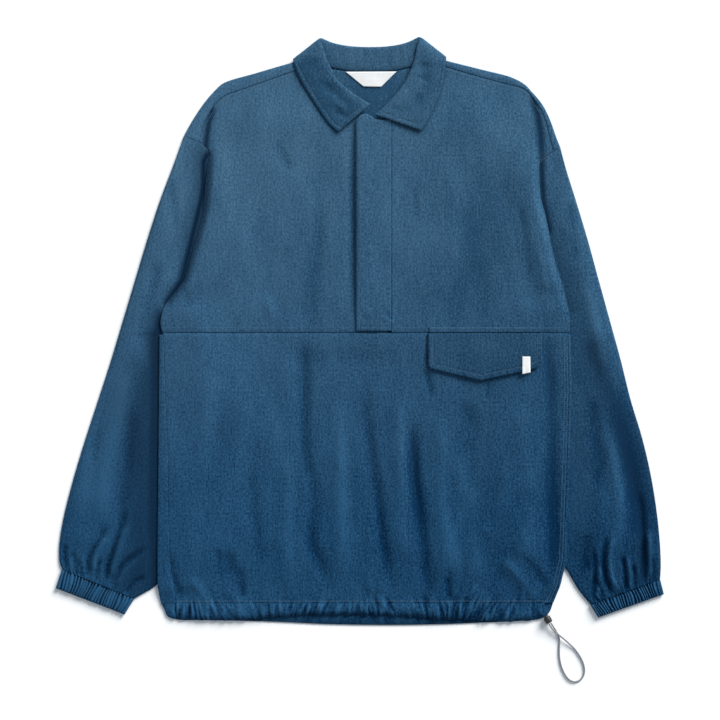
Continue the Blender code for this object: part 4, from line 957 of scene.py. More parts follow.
# ---------------------------------------------------------------- collar
# Stand, roll and fall of doubled, interlined cotton, sewn round the neckline. Round the back the
# fall lies under the shirt; over both shoulders it turns, and its two points lie on the fronts.
COLLAR_WALL = 1.6
COLLAR_FLOOR = 1.1  # height of the middle of its wall under the back
COLLAR_SPACING = 1.3  # half the distance between stand and fall at the roll
ROLL_REACH = 5.0
COLLAR = (
    # neck x, y, roll x, y, edge x, y, front, extra height of the edge
    (1, 297.4, 13.8, 306.5, -29, 270, 1, 0.6), (-12.2, 302.6, 1.2, 314.6, -38.6, 278, 1, 0.2),
    (-29.8, 311.4, -14.2, 325.4, -48.5, 290.5, 1, 0),
    (-46, 322.2, -29.8, 338.9, -60.8, 309.6, 1, 0),
    (-58.2, 333.2, -39.2, 356.4, -76.3, 334.8, 1, 0),
    (-66, 346.2, -45.2, 368.6, -84.2, 350, 1, 0.2),
    (-69.6, 357.5, -49.5, 382, -88.2, 360.4, 1, 0.5),
    (-70.2, 365.5, -52.2, 391.6, -89.2, 367, 0.8, 0),
    (-69.3, 370.4, -53, 395.8, -88.8, 368.8, 0.5, 0),
    (-66.4, 369.4, -51.4, 396.2, -87, 369, 0.2, 0), (-62.6, 366.4, -47.4, 394.6, -83, 367.8, 0, 0),
    (-53.6, 360.5, -36, 390, -66, 352, 0, 0), (-36, 356.5, -18, 386.2, -40, 342, 0, 0),
    (-14, 353, 0, 384.6, -12, 338, 0, 0), (17, 352, 17, 384.3, 17, 337, 0, 0),
    (47, 353.4, 35, 385, 46, 338, 0, 0), (67, 357.6, 52, 387.3, 71, 342, 0, 0),
    (84, 361.6, 66, 391.2, 95, 353, 0, 0), (93.6, 367.4, 75.4, 395.6, 109.6, 370.4, 0, 0),
    (97.8, 371.4, 79.6, 397.6, 113.6, 372.2, 0.2, 0),
    (100.6, 373, 81.6, 397.4, 115.8, 371.8, 0.5, 0),
    (101.6, 367.4, 80.8, 393.4, 116.6, 369.6, 0.8, 0),
    (101.2, 359.4, 78, 385, 115.8, 361.4, 1, 0.5), (97.4, 347, 74.9, 369.9, 113.5, 344, 1, 0.2),
    (89.4, 330.6, 67.8, 349.7, 108, 322, 1, 0), (75, 313, 55.4, 328.1, 100.6, 305.1, 1, 0.4),
    (57.4, 299.6, 38.5, 308.6, 94.4, 291, 1, 0.8), (41.6, 291.8, 28.6, 298.6, 88.8, 280.5, 1, 1),
    (29.6, 287.9, 20.9, 293.4, 83, 271.9, 1, 1.2),
)
COLLAR_CREASES = (
    (7, -2.2, ((-50, 342), (-40, 326), (-26, 312), (-8, 303))),
    (5, 1.4, ((-40, 322), (-30, 309), (-18, 300))),
    (5, -1.5, ((-34, 300), (-24, 292), (-12, 290))),
    (7, -1.9, ((86, 366), (88, 350), (84, 336))),
    (6, 1.5, ((64, 330), (54, 318), (48, 300))),
    (6, -1.5, ((84, 322), (72, 306), (60, 296))),
)
# painted shade on the collar's wings, tinted only and not shaped: half width, height, points
COLLAR_PAINTED_SHADES = (
    (26, -5.5, ((-86, 380), (-62, 336), (-36, 300), (-8, 270))),
    (18, -1.6, ((112, 380), (98, 340), (86, 306), (56, 276))),
)
COLLAR_STITCH = 5.4  # from the edge to the topstitching
COLLAR_STEP = 1.9
STAND_POINTS, ROLL_POINTS, FALL_POINTS = 13, 11, 39  # across the collar


def collar_row(neck_x, neck_y, roll_x, roll_y, edge_x_, edge_y, front, extra):
    """One line of points across the collar: up the stand, over the roll, down the fall."""
    outward = -1.0 if roll_x < 15.0 else 1.0
    neck, roll, edge = np.array([(neck_x, neck_y), (roll_x, roll_y), (edge_x_, edge_y)])
    aside = math.sin(math.pi * front) * outward * COLLAR_SPACING
    front_stand = float(smooth_top(neck_x, neck_y)) + COLLAR_WALL / 2 + 0.4
    front_edge = float(smooth_top(edge_x_, edge_y)) + GAP + COLLAR_WALL / 2 + 0.5 + extra
    stand_z = front_stand * front + (float(lift(neck_x, neck_y)) + 1.6) * (1 - front)
    fall_z = (front_stand + 2 * COLLAR_SPACING) * front + COLLAR_FLOOR * (1 - front)
    edge_z = front_edge * front + COLLAR_FLOOR * (1 - front)
    to_neck = (neck - roll) / np.linalg.norm(neck - roll)
    to_edge = (edge - roll) / np.linalg.norm(edge - roll)
    stand_end, fall_start = roll + to_neck * ROLL_REACH, roll + to_edge * ROLL_REACH
    points = []
    for t in np.linspace(0.0, 1.0, STAND_POINTS + 1)[:-1]:
        place = neck + (stand_end - neck) * t
        sewn = 0.75 * (1 - front) * math.exp(-((t / 0.07) ** 2))
        height = stand_z + 0.5 * math.sin(math.pi * t) - sewn
        points.append((place[0] - aside * t, place[1], height))
    for angle in np.linspace(0.0, math.pi, ROLL_POINTS):
        reach = ROLL_REACH * (1 - math.sin(angle))
        place = roll + (to_neck if angle < math.pi / 2 else to_edge) * reach
        shift = -aside if angle < math.pi / 2 else aside
        shift *= abs(math.cos(angle))
        height = (stand_z + fall_z) / 2 - (fall_z - stand_z) / 2 * math.cos(angle)
        points.append((place[0] + shift, place[1], height))
    for t in np.linspace(0.0, 1.0, FALL_POINTS + 1)[1:]:
        place = fall_start + (edge - fall_start) * t
        bulge = 0.7 * front * math.sin(math.pi * t) * (1 - 0.5 * t)
        height = fall_z + (edge_z - fall_z) * t + bulge
        points.append((place[0] + aside * (1 - t), place[1], height))
    return points


guides = smooth_line(COLLAR, 24)
guide_steps = np.maximum.reduce([
    np.linalg.norm(np.diff(guides[:, k:k + 2], axis=0), axis=1) for k in (0, 2, 4)])
guide_along = np.concatenate([[0.0], np.cumsum(guide_steps)])
collar_spots = graded(guide_along[-1], COLLAR_STEP, (0.0, 0.5, 1.2, 2.1)) * guide_along[-1]
collar_guides = np.stack(
    [np.interp(collar_spots, guide_along, guides[:, k]) for k in range(8)], axis=1)
collar_patch = np.array([collar_row(*row) for row in collar_guides])
collar_fronts = np.clip(collar_guides[:, 6], 0.0, 1.0)[:, None]
fall = np.zeros(collar_patch.shape[1])
fall[STAND_POINTS + ROLL_POINTS:] = 1.0
row_steps = np.linalg.norm(np.diff(collar_patch[..., :2], axis=1), axis=2)
edge_away = np.cumsum(np.pad(row_steps, ((0, 0), (0, 1)))[:, ::-1], axis=1)[:, ::-1]
for end in (0, -1):
    end_line = collar_guides[end, 2:6].reshape(2, 2)
    end_away, _ = distance_to(end_line, collar_patch[..., 0], collar_patch[..., 1])
    near_end = np.abs(collar_spots - collar_spots[end])[:, None] < 40.0
    edge_away = np.where(near_end, np.minimum(edge_away, end_away), edge_away)
fall_finish = (
    -0.4 * np.exp(-((edge_away / 0.8) ** 2))
    - 0.5 * np.exp(-(((edge_away - COLLAR_STITCH) / 1.3) ** 2))
    + 0.35 * np.exp(-(((edge_away - COLLAR_STITCH / 2) / 1.6) ** 2))
    + creased(COLLAR_CREASES, collar_patch[..., 0], collar_patch[..., 1])
    + 0.8 * rumpled(collar_patch[..., 0], collar_patch[..., 1], 18.0, 4.4)
)
collar_patch[..., 2] += fall_finish * fall[None, :] * collar_fronts
stand_x, stand_y = collar_patch[:, 2:16, 0], collar_patch[:, 2:16, 1]
collar_patch[:, 2:16, 2] += 0.9 * rumpled(stand_x, stand_y, 9.0, 6.2, 3.0) * (1 - collar_fronts)
collar_patch[..., 2] = np.maximum(collar_patch[..., 2], COLLAR_FLOOR)
# the collar's cloth is the same cotton, 12% darker as painted shade
collar = cloth_piece(
    "folded_collar", [collar_patch], wall=COLLAR_WALL, offset=0.0,
    creases=[*COLLAR_CREASES, *COLLAR_PAINTED_SHADES], material=cotton("collar_cotton_painted_shade", 0.88),
)
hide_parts("collar")
on_fronts = collar_guides[:, 6] > 0.97
middle_spot = collar_spots[-1] / 2
for side, chosen in (("left", collar_spots < middle_spot), ("right", collar_spots > middle_spot)):
    wing = collar_patch[chosen & on_fronts]
    ends = collar_guides[0 if side == "left" else -1, 2:6].reshape(2, 2)
    outer = wing[:, -1, :2]
    outer = np.vstack([ends[:1], outer]) if side == "left" else np.vstack([outer, ends[:1]])
    outer = smooth_line(at_lengths(outer, np.linspace(8.0, length_of(outer) - 8.0, 60)), 2)
    stitch_row(f"{side}_collar_stitches", collar, shifted(outer, COLLAR_STITCH),
               COLLAR_WALL / 2)

# ---------------------------------------------------------------- neck label
# A bare ribbon of white woven polyester. Both its ends are folded under, which makes it a
# trapezoid, and its long edge is caught in the back neck seam.
LABEL_TOP = ((-19.0, 351.4), (50.0, 351.8))
LABEL_FOOT = ((5.8, 331.5), (29.0, 331.0))
RIBBON = 0.6


def ribbon():
    """White satin ribbon: fine ribs across it, hardly shining."""
    material, tree, shader = new_material("white_ribbon", 0.6)
    weave = add_node(tree, "ShaderNodeUVMap", {"uv_map": "weave"})
    across = {"Vector": weave, "Scale": 520.0}
    ribs = weave.node("ShaderNodeTexWave", {"bands_direction": "Y"}, across)
    cloudy = weave.node("ShaderNodeTexNoise", (), {"Vector": weave, "Scale": 160.0, "Detail": 3.0})
    tone = (ribs * 0.5 + cloudy * 0.7).between(0.2, 0.9)
    colour = tone.mix((0.68, 0.69, 0.70), (0.84, 0.84, 0.83))
    tree.links.new(colour.socket, shader.inputs["Base Color"])
    bump = {"Height": ribs, "Strength": 0.4, "Distance": 0.0002}
    tree.links.new(weave.node("ShaderNodeBump", (), bump).socket, shader.inputs["Normal"])
    return material


white_ribbon = ribbon()
label_u, label_v = np.linspace(0.0, 1.0, 45), np.linspace(0.0, 1.0, 17)
label_plan = coons(
    along(LABEL_FOOT, label_u), along(LABEL_TOP, label_u),
    along((LABEL_FOOT[0], LABEL_TOP[0]), label_v), along((LABEL_FOOT[1], LABEL_TOP[1]), label_v),
    label_u, label_v,
)


def label_top(x, y):
    wave = 0.35 * np.sin((x - 2.0) / 9.0) * step(y, 350.0, 338.0)
    return lift(x, y) + CLOTH + GAP + RIBBON + 0.25 + wave


label = cloth_piece(
    "label_ribbon", [raised(label_plan, label_top)], wall=RIBBON,
    material=white_ribbon,
)
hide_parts("neck_label")

# ---------------------------------------------------------------- pocket
# The pocket's mouth is in the waist seam. A doubled, pointed flap is sewn into the seam and hangs
# over it, a welt is stitched above, and a folded white ribbon is caught in the flap's edge.
FLAP_EDGE = (
    (92.2, -43), (94.6, -49.2), (118, -54.9), (141, -60.3), (163.2, -65.5), (186, -60.6),
    (208, -56), (230.2, -51.3), (241.6, -46.4), (246.1, -40.5),
)
WELT = ((93.4, -0.5), (246.0, 6.6))
TAB_CORNERS = ((219.1, -33.2), (229.9, -33.2), (230.2, -54.6), (219.1, -57.0))
FLAP_STITCH = 7.2
flap_head = WAIST_Y - GAP
flap_line = np.array([(92.2, flap_head), *FLAP_EDGE, (246.1, flap_head)])


def flap_top(x, y):
    """The flap lies over the lower front, its point standing a little proud of it."""
    droop = step(y, flap_head, flap_head - 34.0)
    soft = 0.25 * rumpled(x, y, 20.0, 9.3)
    away, _ = distance_to(flap_line, x, y)
    puckers = 0.22 * np.exp(-(((away - 3.4) / 2.6) ** 2)) * np.sin(x / 1.5) * step(y, -40.0, -50.0)
    rim = -0.7 * np.exp(-((away / 0.9) ** 2)) - 0.45 * np.exp(-(((away - FLAP_STITCH) / 1.1) ** 2))
    return smooth_top(x, y) + 0.9 + GAP + DOUBLE + 1.1 * droop + soft + puckers + rim


flap_u = np.linspace(0.0, 1.0, 104)
flap_v = graded(60.0, 1.5, (0.0, 0.5, 1.1, 1.9))
flap_xs = 92.2 + (246.1 - 92.2) * flap_u
flap_low = np.column_stack([flap_xs, np.interp(flap_xs, *np.array(FLAP_EDGE).T)])
flap_high = np.column_stack([flap_xs, np.full(len(flap_xs), flap_head)])
flap_plan = flap_low[None] + (flap_high - flap_low)[None] * flap_v[:, None, None]
flap_patch = sewn_down(raised(flap_plan, flap_top), [waist_line], 0.3, 1.4)
# the flap's cloth is the same cotton, 14% darker as painted shade
flap = cloth_piece(
    "pointed_flap", [flap_patch],
    wall=DOUBLE, painted_shade_lines=[(waist_line, 0.8, 0.2)], material=cotton("flap_cotton_painted_shade", 0.86),
)
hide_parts("pocket_flap")
flap_edge_line = np.array([(92.2, flap_head - 6.0), *FLAP_EDGE, (246.1, flap_head - 6.0)])
edge_xs, edge_ys = flap_edge_line.T
flap_inside = np.column_stack([
    edge_xs + np.interp(edge_xs, (92.2, 100.0, 238.0, 246.1), (6.5, 4.0, -4.0, -6.5)),
    edge_ys + np.interp(edge_xs, (92.3, 96.0, 240.0, 246.0), (2.0, 6.5, 6.5, 2.0))])
stitch_row("flap_stitches", flap, flap_inside)

welt_u, welt_v = np.linspace(0.0, 1.0, 100), np.linspace(0.0, 1.0, 9)
welt_line = np.array([WELT[0], (WELT[0][0], WELT[1][1]), WELT[1], (WELT[1][0], WELT[0][1])])
welt_plan = np.stack(np.meshgrid(
    WELT[0][0] + (WELT[1][0] - WELT[0][0]) * welt_u, WELT[0][1] + 7.1 * welt_v), axis=-1)


def welt_top(x, y):
    away, _ = distance_to(welt_line, x, y)
    return front_top(x, y) + GAP + 0.75 - 0.5 * np.exp(-((away / 0.8) ** 2))


welt = cloth_piece(
    "stitched_welt", [raised(welt_plan, welt_top)], wall=0.7,
    painted_shade_lines=[(waist_line, 0.8, 0.2), (welt_line, 0.5, 0.25)],
)
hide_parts("pocket_welt")
stitch_row("welt_stitches", welt, ((95.5, 5.0), (244.0, 5.0)))
stitch_row("right_waist_end_stitches", right_front,
           ((247.5, waist_stitch), (right_rise[6, 0] - 1.0, waist_stitch)))

tab_near_left, tab_near_right, tab_far_right, tab_far_left = TAB_CORNERS
tab_u, tab_v = np.linspace(0.0, 1.0, 9), np.linspace(0.0, 1.0, 19)
tab_plan = coons(
    along((tab_far_left, tab_far_right), tab_u), along((tab_near_left, tab_near_right), tab_u),
    along((tab_far_left, tab_near_left), tab_v), along((tab_far_right, tab_near_right), tab_v),
    tab_u, tab_v,
)


def tab_top(x, y):
    """The tab lies on the flap and reaches a little past its edge."""
    return np.maximum(flap_top(x, y), flap_top(x, y + 3.0)) + GAP + RIBBON


tab = cloth_piece(
    "ribbon_tab", [raised(tab_plan, tab_top)], wall=RIBBON, material=white_ribbon,
)
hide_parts("flap_tab")

# ---------------------------------------------------------------- sleeves
# Each sleeve is one panel, sewn to a tube with its seam underneath and gathered into the cuff.
# Its inner edge is tucked under the body, and it fills out softly where the body leaves it free.
LEFT_SLEEVE_OUTER = (
    (-236.9, 265.7), (-250.4, 228.2), (-269.3, 178.2), (-286.9, 124.2), (-303.1, 70.2),
    (-319.3, 16.2), (-335.5, -37.8), (-353, -91.8), (-370.6, -145.8), (-386.8, -199.8),
    (-400.3, -253.8), (-405.7, -290), (-405, -312), (-401.9, -320.2),
)
RIGHT_SLEEVE_OUTER = (
    (271.4, 249.3), (278.8, 221.4), (292.3, 178.2), (308.5, 124.2), (323.3, 70.2), (338.2, 16.2),
    (353, -37.8), (366.5, -91.8), (382.7, -145.8), (394.9, -199.8), (403, -253.8), (406.8, -300),
    (407, -322), (406.1, -334.1),
)
ARMPIT_LENGTH = 245.0
SLEEVE_PUFF = 10.0
LEFT_SLEEVE_CREASES = (  # half width, height, points
    (3.6, -4.6, ((-343.5, -342), (-340, -317), (-332, -291), (-322, -262), (-314, -236))),
    (4, 3, ((-336, -336), (-332, -312), (-324, -288), (-312, -258))),
    (3.2, -3.8, ((-368, -334), (-365, -303), (-349, -277), (-343, -258))),
    (3.6, 2.4, ((-360, -326), (-356, -300), (-342, -274))),
    (3.4, -3.8, ((-337, -346), (-323, -319), (-300, -299), (-284, -288))),
    (3.6, 2.2, ((-330, -346), (-316, -322), (-298, -308))),
    (3.2, -3.2, ((-318, -355), (-304, -338), (-288, -330))),
    (3, -3, ((-396, -326), (-399, -300), (-398, -284))),
    (2.6, -2.6, ((-383, -331), (-384, -312), (-388, -296))),
    (2.4, -2.2, ((-355, -339), (-354, -318), (-348, -304))),
    (2.4, -2, ((-375, -335), (-377, -318), (-381, -306))),
    (12, 2.4, ((-352, -270), (-346, -200), (-330, -120), (-312, -40))),
    (9, -2.2, ((-324, -262), (-314, -200), (-306, -90))),
    (7, -1.4, ((-364, -180), (-352, -120), (-342, -60))),
    (8, -1.7, ((-300, -20), (-284, 40), (-270, 100))),
    (7, -1.4, ((-262, 214), (-252, 170), (-250, 130))),
    (16, 1.6, ((-345, -30), (-360, -110), (-372, -190), (-382, -260))),
)
RIGHT_SLEEVE_CREASES = (
    (4.4, -6, ((384, -345), (383.5, -310), (382, -270), (376, -215))),
    (4, 3, ((391, -338), (391, -305), (390, -265))),
    (13, -3.4, ((381, -290), (370, -200), (352, -120), (336, -60))),
    (3, -3.8, ((360, -353), (359, -325), (354, -300))),
    (3.2, 2.6, ((365, -350), (364, -326), (360, -300))),
    (3.2, -4, ((315, -367), (317, -340), (318, -315), (314, -290))),
    (3.2, 2.4, ((321, -362), (323, -338), (324, -314))),
    (3.6, -4.4, ((343, -358), (332, -330), (329, -300), (336, -272))),
    (3.6, 3, ((350, -354), (339, -328), (337, -298), (344, -272))),
    (2.8, -2.8, ((371, -349), (371, -328), (368, -312))),
    (2.8, -2.8, ((397, -342), (397, -320), (394, -300))),
    (2.6, -2.6, ((328, -362), (324, -344), (318, -334))),
    (9, 2.6, ((346, -300), (350, -240), (344, -180), (330, -120))),
    (8, -2.4, ((308, -330), (304, -300), (306, -270))),
    (9, -2, ((322, -220), (318, -150), (308, -80))),
    (9, 2, ((330, -60), (318, 0), (302, 70))),
    (7, -1.7, ((282, 180), (286, 140), (290, 90))),
    (16, 1.8, ((300, -60), (300, -140), (298, -230), (300, -300))),
)
LEFT_PAINTED_SHADOWS = (  # painted shadow in the fold beside the body: line, half width, depth
    (((-206, 240), (-210.5, 230), (-211, 197), (-214, 178), (-227, 124), (-240, 70),
        (-260, 40)), 6.5, 1),
    (((-208, 236), (-211, 197), (-214, 178), (-227, 124)), 19, 0.55),
    (((-268, 20), (-276, -6), (-277, -60), (-279, -160), (-280, -260), (-276, -340)), 15, 0.9),
    (((-282, -60), (-290, -120), (-294, -200), (-294, -330)), 32, 0.72),
)
# painted shadow beside the body's right edge: line, half width, depth
RIGHT_PAINTED_SHADOWS = (
    (((246, 240), (246.5, 215), (248.5, 178), (257, 136)), 5, 0.9),
    (((256, 140), (264, 112), (276, 70), (286, 30)), 5, 0.3),
    (((318, -20), (335, -92), (358, -159), (380, -227), (382, -281), (385, -330)), 14, 0.55),
    (((372, -110), (390, -200), (396, -281), (398, -330)), 12, 0.35),
)


def sleeve_patches(outer, inner, armhole, under_at, side, creases, seed):
    """A flat tube from the armhole to the cuff: top, both folds and underside in one ring."""
    mouth = shifted(armhole, -side * GAP)
    total_mouth = length_of(mouth)
    turn_at = under_at + 0.2 * (length_of(armhole) - under_at)
    u = np.linspace(0.0, 1.0, 55)
    start = at_lengths(mouth, u * turn_at)
    line = smooth_line(outer)
    total = length_of(line)
    upper = np.concatenate([(0.0, 0.6, 1.3, 2.3), np.linspace(4.0, ARMPIT_LENGTH, 60)])
    lower = np.concatenate([
        np.linspace(ARMPIT_LENGTH, total - 3.8, 124)[1:], total - np.array((2.3, 1.3, 0.6, 0.0))])
    upper_rows = len(upper) - 1
    tucked = evenly(inner, 126)
    inner_line = np.vstack([
        at_lengths(mouth, turn_at + (total_mouth - turn_at) * upper / ARMPIT_LENGTH),
        along(tucked, (lower - ARMPIT_LENGTH) / (total - ARMPIT_LENGTH))])
    lengths = np.concatenate([upper, lower])
    outer_line = at_lengths(line, lengths)
    outer_line[0] = start[0]
    v = lengths / total
    plan = coons(start, along((outer_line[-1], inner_line[-1]), u), outer_line, inner_line, u, v)
    across = plan[:, -1] - plan[:, 0]
    across /= np.linalg.norm(across, axis=1)[:, None]
    plan[:, 0] += across * FOLD / 2
    plan[upper_rows:, -1] -= across[upper_rows:] * FOLD / 2
    x, y = plan[..., 0], plan[..., 1]
    outside = side * (x - edge_x(side, y))
    at_cuff = step(v, 0.90, 1.0)[:, None]
    free = np.maximum(step(outside, -6.0, 46.0), at_cuff) * step(v, 0.02, 0.2)[:, None]
    fill = free * np.sin(np.pi * np.clip(u, 0.0, 1.0)[None, :]) ** 0.7
    round_off = step(u, 0.0, 0.06)[None, :] * step(u, 1.0, 0.94)[None, :]
    puff = SLEEVE_PUFF * (0.8 + 0.2 * step(v, 0.45, 0.8) - 0.7 * step(v, 0.9, 1.0))[:, None]
    folds = 1.25 * creased(creases, x, y) + 1.6 * rumpled(x, y, 40.0, seed, 2.6)
    gathers = np.exp(-(((1.0 - v) * total / 17.0) ** 2))[:, None] * (
        1.8 * np.sin(150.0 * u + 2.0 * np.sin(19.0 * u) + 9.0 * (1.0 - v[:, None])))
    top = FOLD + puff * fill + (folds * free + gathers) * round_off
    top -= 0.3 * np.exp(-(((1.0 - v) * total / 3.0) ** 2))[:, None] * round_off
    seen = step(u * turn_at, under_at + 2.0, under_at - 12.0)[None, :] * step(v, 0.14, 0.0)[:, None]
    shoulder_top = front_top(x, y) + 0.1
    top = np.maximum(np.maximum(top, FOLD - 0.2), shoulder_top * seen)
    top = np.concatenate([plan, top[..., None]], axis=-1)
    under = np.concatenate([plan[:, ::-3], np.zeros(plan[:, ::-3].shape[:2] + (1,))], axis=-1)

    def rounded(edge, outward, low_z, high_z):
        """The points of the fold between underside and top, without its two ends."""
        middle, radius = (low_z + high_z) / 2, (high_z - low_z) / 2
        points = []
        for angle in np.linspace(-math.pi / 2, math.pi / 2, 6)[1:-1]:
            place = edge + outward * FOLD / 2 * math.cos(angle)
            points.append(np.column_stack([place, middle + radius * math.sin(angle)]))
        return points

    outer_fold = rounded(plan[:, 0], -across, 0.0, top[:, 0, 2])
    inner_fold = rounded(plan[:, -1], across, 0.0, top[:, -1, 2])
    tube = np.concatenate([under, np.stack(outer_fold, axis=1), top], axis=1)
    closing = [top[:, -1], *inner_fold[::-1], under[:, 0]]
    return [tube, np.stack(closing, axis=1)[upper_rows:]]


def sleeve(name, node, outer, inner, armhole, under_at, side, creases, seed, cuff_line, seam_at,
           painted_shadows):
    patches = sleeve_patches(outer, inner, armhole, under_at, side, creases, seed)
    mouth = at_lengths(armhole, np.linspace(0.0, seam_at + 20.0, 12))
    piece = cloth_piece(
        name, patches, weave=10.0 * side, flip=side < 0,
        # painted shade and light on the creases, and painted shade at the armhole and cuff seams
        # and in the shadows beside the body
        creases=[(half, 1.4 * height, line) for half, height, line in creases],
        painted_shade_lines=[(mouth, 0.8, 0.35), (cuff_line, 0.8, 0.2), *painted_shadows],
    )
    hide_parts(node)
    return piece


LEFT_CUFF = ((-401.9, -320.5), (-304.4, -360.5), (-410.3, -346.0), (-317.4, -381.6))
RIGHT_CUFF = ((406.1, -334.4), (312.0, -368.6), (411.2, -354.0), (322.4, -385.6))
sleeve(
    "left_sleeve", "sleeve_left", LEFT_SLEEVE_OUTER, LEFT_SLEEVE_INNER, left_armhole,
    LEFT_UNDER_AT, -1, LEFT_SLEEVE_CREASES, 1.7, LEFT_CUFF[:2], LEFT_SEAM_AT, LEFT_PAINTED_SHADOWS)
sleeve(
    "right_sleeve", "sleeve_right", RIGHT_SLEEVE_OUTER, RIGHT_SLEEVE_INNER, right_armhole,
    RIGHT_UNDER_AT, 1, RIGHT_SLEEVE_CREASES, 5.9, RIGHT_CUFF[:2], RIGHT_SEAM_AT, RIGHT_PAINTED_SHADOWS)

# ---------------------------------------------------------------- cuffs
# Each cuff is a doubled band of the same cotton, closed to a ring and sewn to the sleeve's end.
# Wide elastic inside it gathers it into close uneven ribs.
CUFF_RIBS = 24
CUFF_WALL = 2.0
CUFF_HEIGHT = 7.0
RIB_DEPTH = 3.7


def cuff(name, node, corners, seed):
    outer_top, inner_top, outer_hand, inner_hand = (np.array(c) for c in corners)
    u = np.linspace(0.0, 1.0, CUFF_RIBS * 10 + 1)
    warped = u + 0.009 * np.sin(17.0 * u + seed) + 0.005 * np.sin(53.0 * u + 2 * seed)
    rings = []
    for t in np.linspace(0.0, 1.0, 15):
        start = outer_top + (outer_hand - outer_top) * t
        end = inner_top + (inner_hand - inner_top) * t
        span = np.linalg.norm(end - start)
        heading = (end - start) / span
        phase = np.pi * CUFF_RIBS * warped + 0.8 * np.sin(3.0 * t + seed + 9.0 * u)
        ribs = np.abs(np.sin(phase)) ** 1.3
        depth = RIB_DEPTH * (0.75 + 0.25 * np.sin(31.0 * u + seed))
        ends = step(u, 0.0, 0.03) * step(u, 1.0, 0.97)
        low = 0.7 * math.exp(-((t / 0.05) ** 2)) + 0.9 * math.exp(-(((1 - t) / 0.05) ** 2))
        top = CUFF_HEIGHT - 1.4 + (ribs - 1.0) * depth * ends - low + 0.9 * math.sin(math.pi * t)
        inset = 2.4
        xs = inset / span + (1 - 2 * inset / span) * u
        tops = np.column_stack([start + heading * span * xs[:, None], top])
        centre = CUFF_HEIGHT / 2 - 0.6
        fold_out, fold_in = [], []
        for angle in np.linspace(-math.pi / 2, math.pi / 2, 8)[1:-1]:
            out, high = inset * math.cos(angle), centre + (centre) * math.sin(angle)
            fold_out.append((*(start + heading * (inset - out)), high))
            fold_in.append((*(end - heading * (inset - out)), high))
        low_xs = xs[::-6]
        lows = np.column_stack([start + heading * span * low_xs[:, None], np.zeros(len(low_xs))])
        rings.append(np.vstack([lows, fold_out, tops, fold_in[::-1], lows[:1]]))
    patch = np.array(rings)
    # painted shade in the ribs' troughs, set by height, and at the seam
    piece = cloth_piece(
        name, [patch], wall=CUFF_WALL * 0.6, flip=corners[0][0] < 0,
        weave=20.0 if corners[0][0] > 0 else -20.0, painted_shade_heights=(2.6, 6.2),
        painted_shade_lines=[((outer_top, inner_top), 0.8, 0.2)],
    )
    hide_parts(node)
    return piece


cuff("left_cuff", "cuff_left", LEFT_CUFF, 0.7)
cuff("right_cuff", "cuff_right", RIGHT_CUFF, 2.9)

# ---------------------------------------------------------------- hem casings
# The front's and the back's edges are turned up and stitched down to make a channel. The
# drawcord in it gathers them into small puckers. The back one shows a little below the front.
FRONT_HEM = (
    (-247.6, -387.9), (-207.2, -388.8), (-160, -388.8), (-112.7, -384.6), (-65.5, -382.4),
    (14.2, -382.1), (62.8, -384.1), (119.5, -387.9), (166.7, -389.7), (195.1, -391),
    (223.4, -389.8), (240, -388), (250, -384),
)
BACK_HEM = (
    (-264, -374), (-259.5, -384), (-247.6, -388.3), (-207.2, -389.4), (-160, -390.2),
    (-112.7, -391.5), (-46.6, -394.5), (14.2, -395.6), (62.8, -395.6), (119.5, -394.5),
    (166.7, -392.6), (195.1, -391.6), (223.4, -390), (240, -388.4), (250, -384.8), (257, -378),
)
HEM_WALL = 1.4
HEM_LEAST = 2.8  # the front casing's least height over the back's underside
casing_head = CASING_TOP - GAP / 2
hem_u = np.concatenate([(0.0, 0.0005, 0.0011, 0.0018), np.linspace(0.003, 1.0, 456)])
hem_v = np.array((1.0, 0.98, 0.95, 0.88, 0.76, 0.62, 0.46, 0.3, 0.16, 0.07, 0.025, 0.0))
hem_xs = side_x(CASING_TOP, 2) + GAP + (FRONT_HEM[-1][0] - side_x(CASING_TOP, 2) - GAP) * hem_u
hem_low = np.interp(hem_xs, *smooth_line(FRONT_HEM).T)
hem_patch = []
for t in hem_v:
    y = casing_head + (hem_low - casing_head) * t
    y = y + 0.8 * np.sin(hem_xs / 2.6 + 1.9 * np.sin(hem_xs / 14.0)) * t
    swell = 1.2 * math.sin(math.pi * t) ** 0.8
    height = front_top(hem_xs, y) + swell * step(hem_xs, -250.0, -232.0)
    height += 0.4 * hem_puckers(hem_xs, y) * step(t, 0.0, 0.3) - 1.8 * step(t, 0.72, 1.0)
    height = np.maximum(height, lift(hem_xs, y) + HEM_LEAST)
    hem_patch.append(np.column_stack([hem_xs, y, height]))
# painted shade in the puckers and painted shadow along the casing's lower edge, over the back's
# casing
front_hem = cloth_piece(
    "front_hem_casing", [np.array(hem_patch)], wall=HEM_WALL,
    puckers=hem_puckers, painted_shade_lines=[(FRONT_HEM, 3.5, 0.6)],
)
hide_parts("hem_front")

seam_x = float(side_x(CASING_TOP, 2)) - GAP
casing_right = float(side_x(CASING_TOP, 4)) - 0.4
casing_left = float(side_x(CASING_TOP, 1))
back_outline = smooth_line(((casing_left, casing_head), *BACK_HEM, (casing_right, casing_head)))
corner = int(np.argmax(back_outline[:, 0] > seam_x))
corner_line = along(back_outline[corner::-1], np.linspace(0.0, 1.0, 16))
corner_fold = fold_over(corner_line, 1)
rest = back_outline[corner:]
hem_back_low = at_lengths(rest, np.linspace(0.0, length_of(rest) - 10.0, 190))
hem_back_low[0] = corner_fold[0][0, :2]
hem_back_up = np.column_stack([
    np.linspace(corner_fold[0][-1, 0], casing_right, 190), np.full(190, casing_head)])
hem_back_right = along((hem_back_low[-1], hem_back_up[-1]), np.linspace(0.0, 1.0, 16))
for strip in corner_fold:
    strip[-1, 1] = casing_head - 0.5


def back_hem_top(x, y):
    """The back casing's underside, with the puckers of its gathers."""
    wave = np.abs(np.sin(x / 2.3 + 1.5 * np.sin(x / 21.0)))
    return lift(x, y) + 0.35 * wave * step(x, seam_x, seam_x + 20.0)


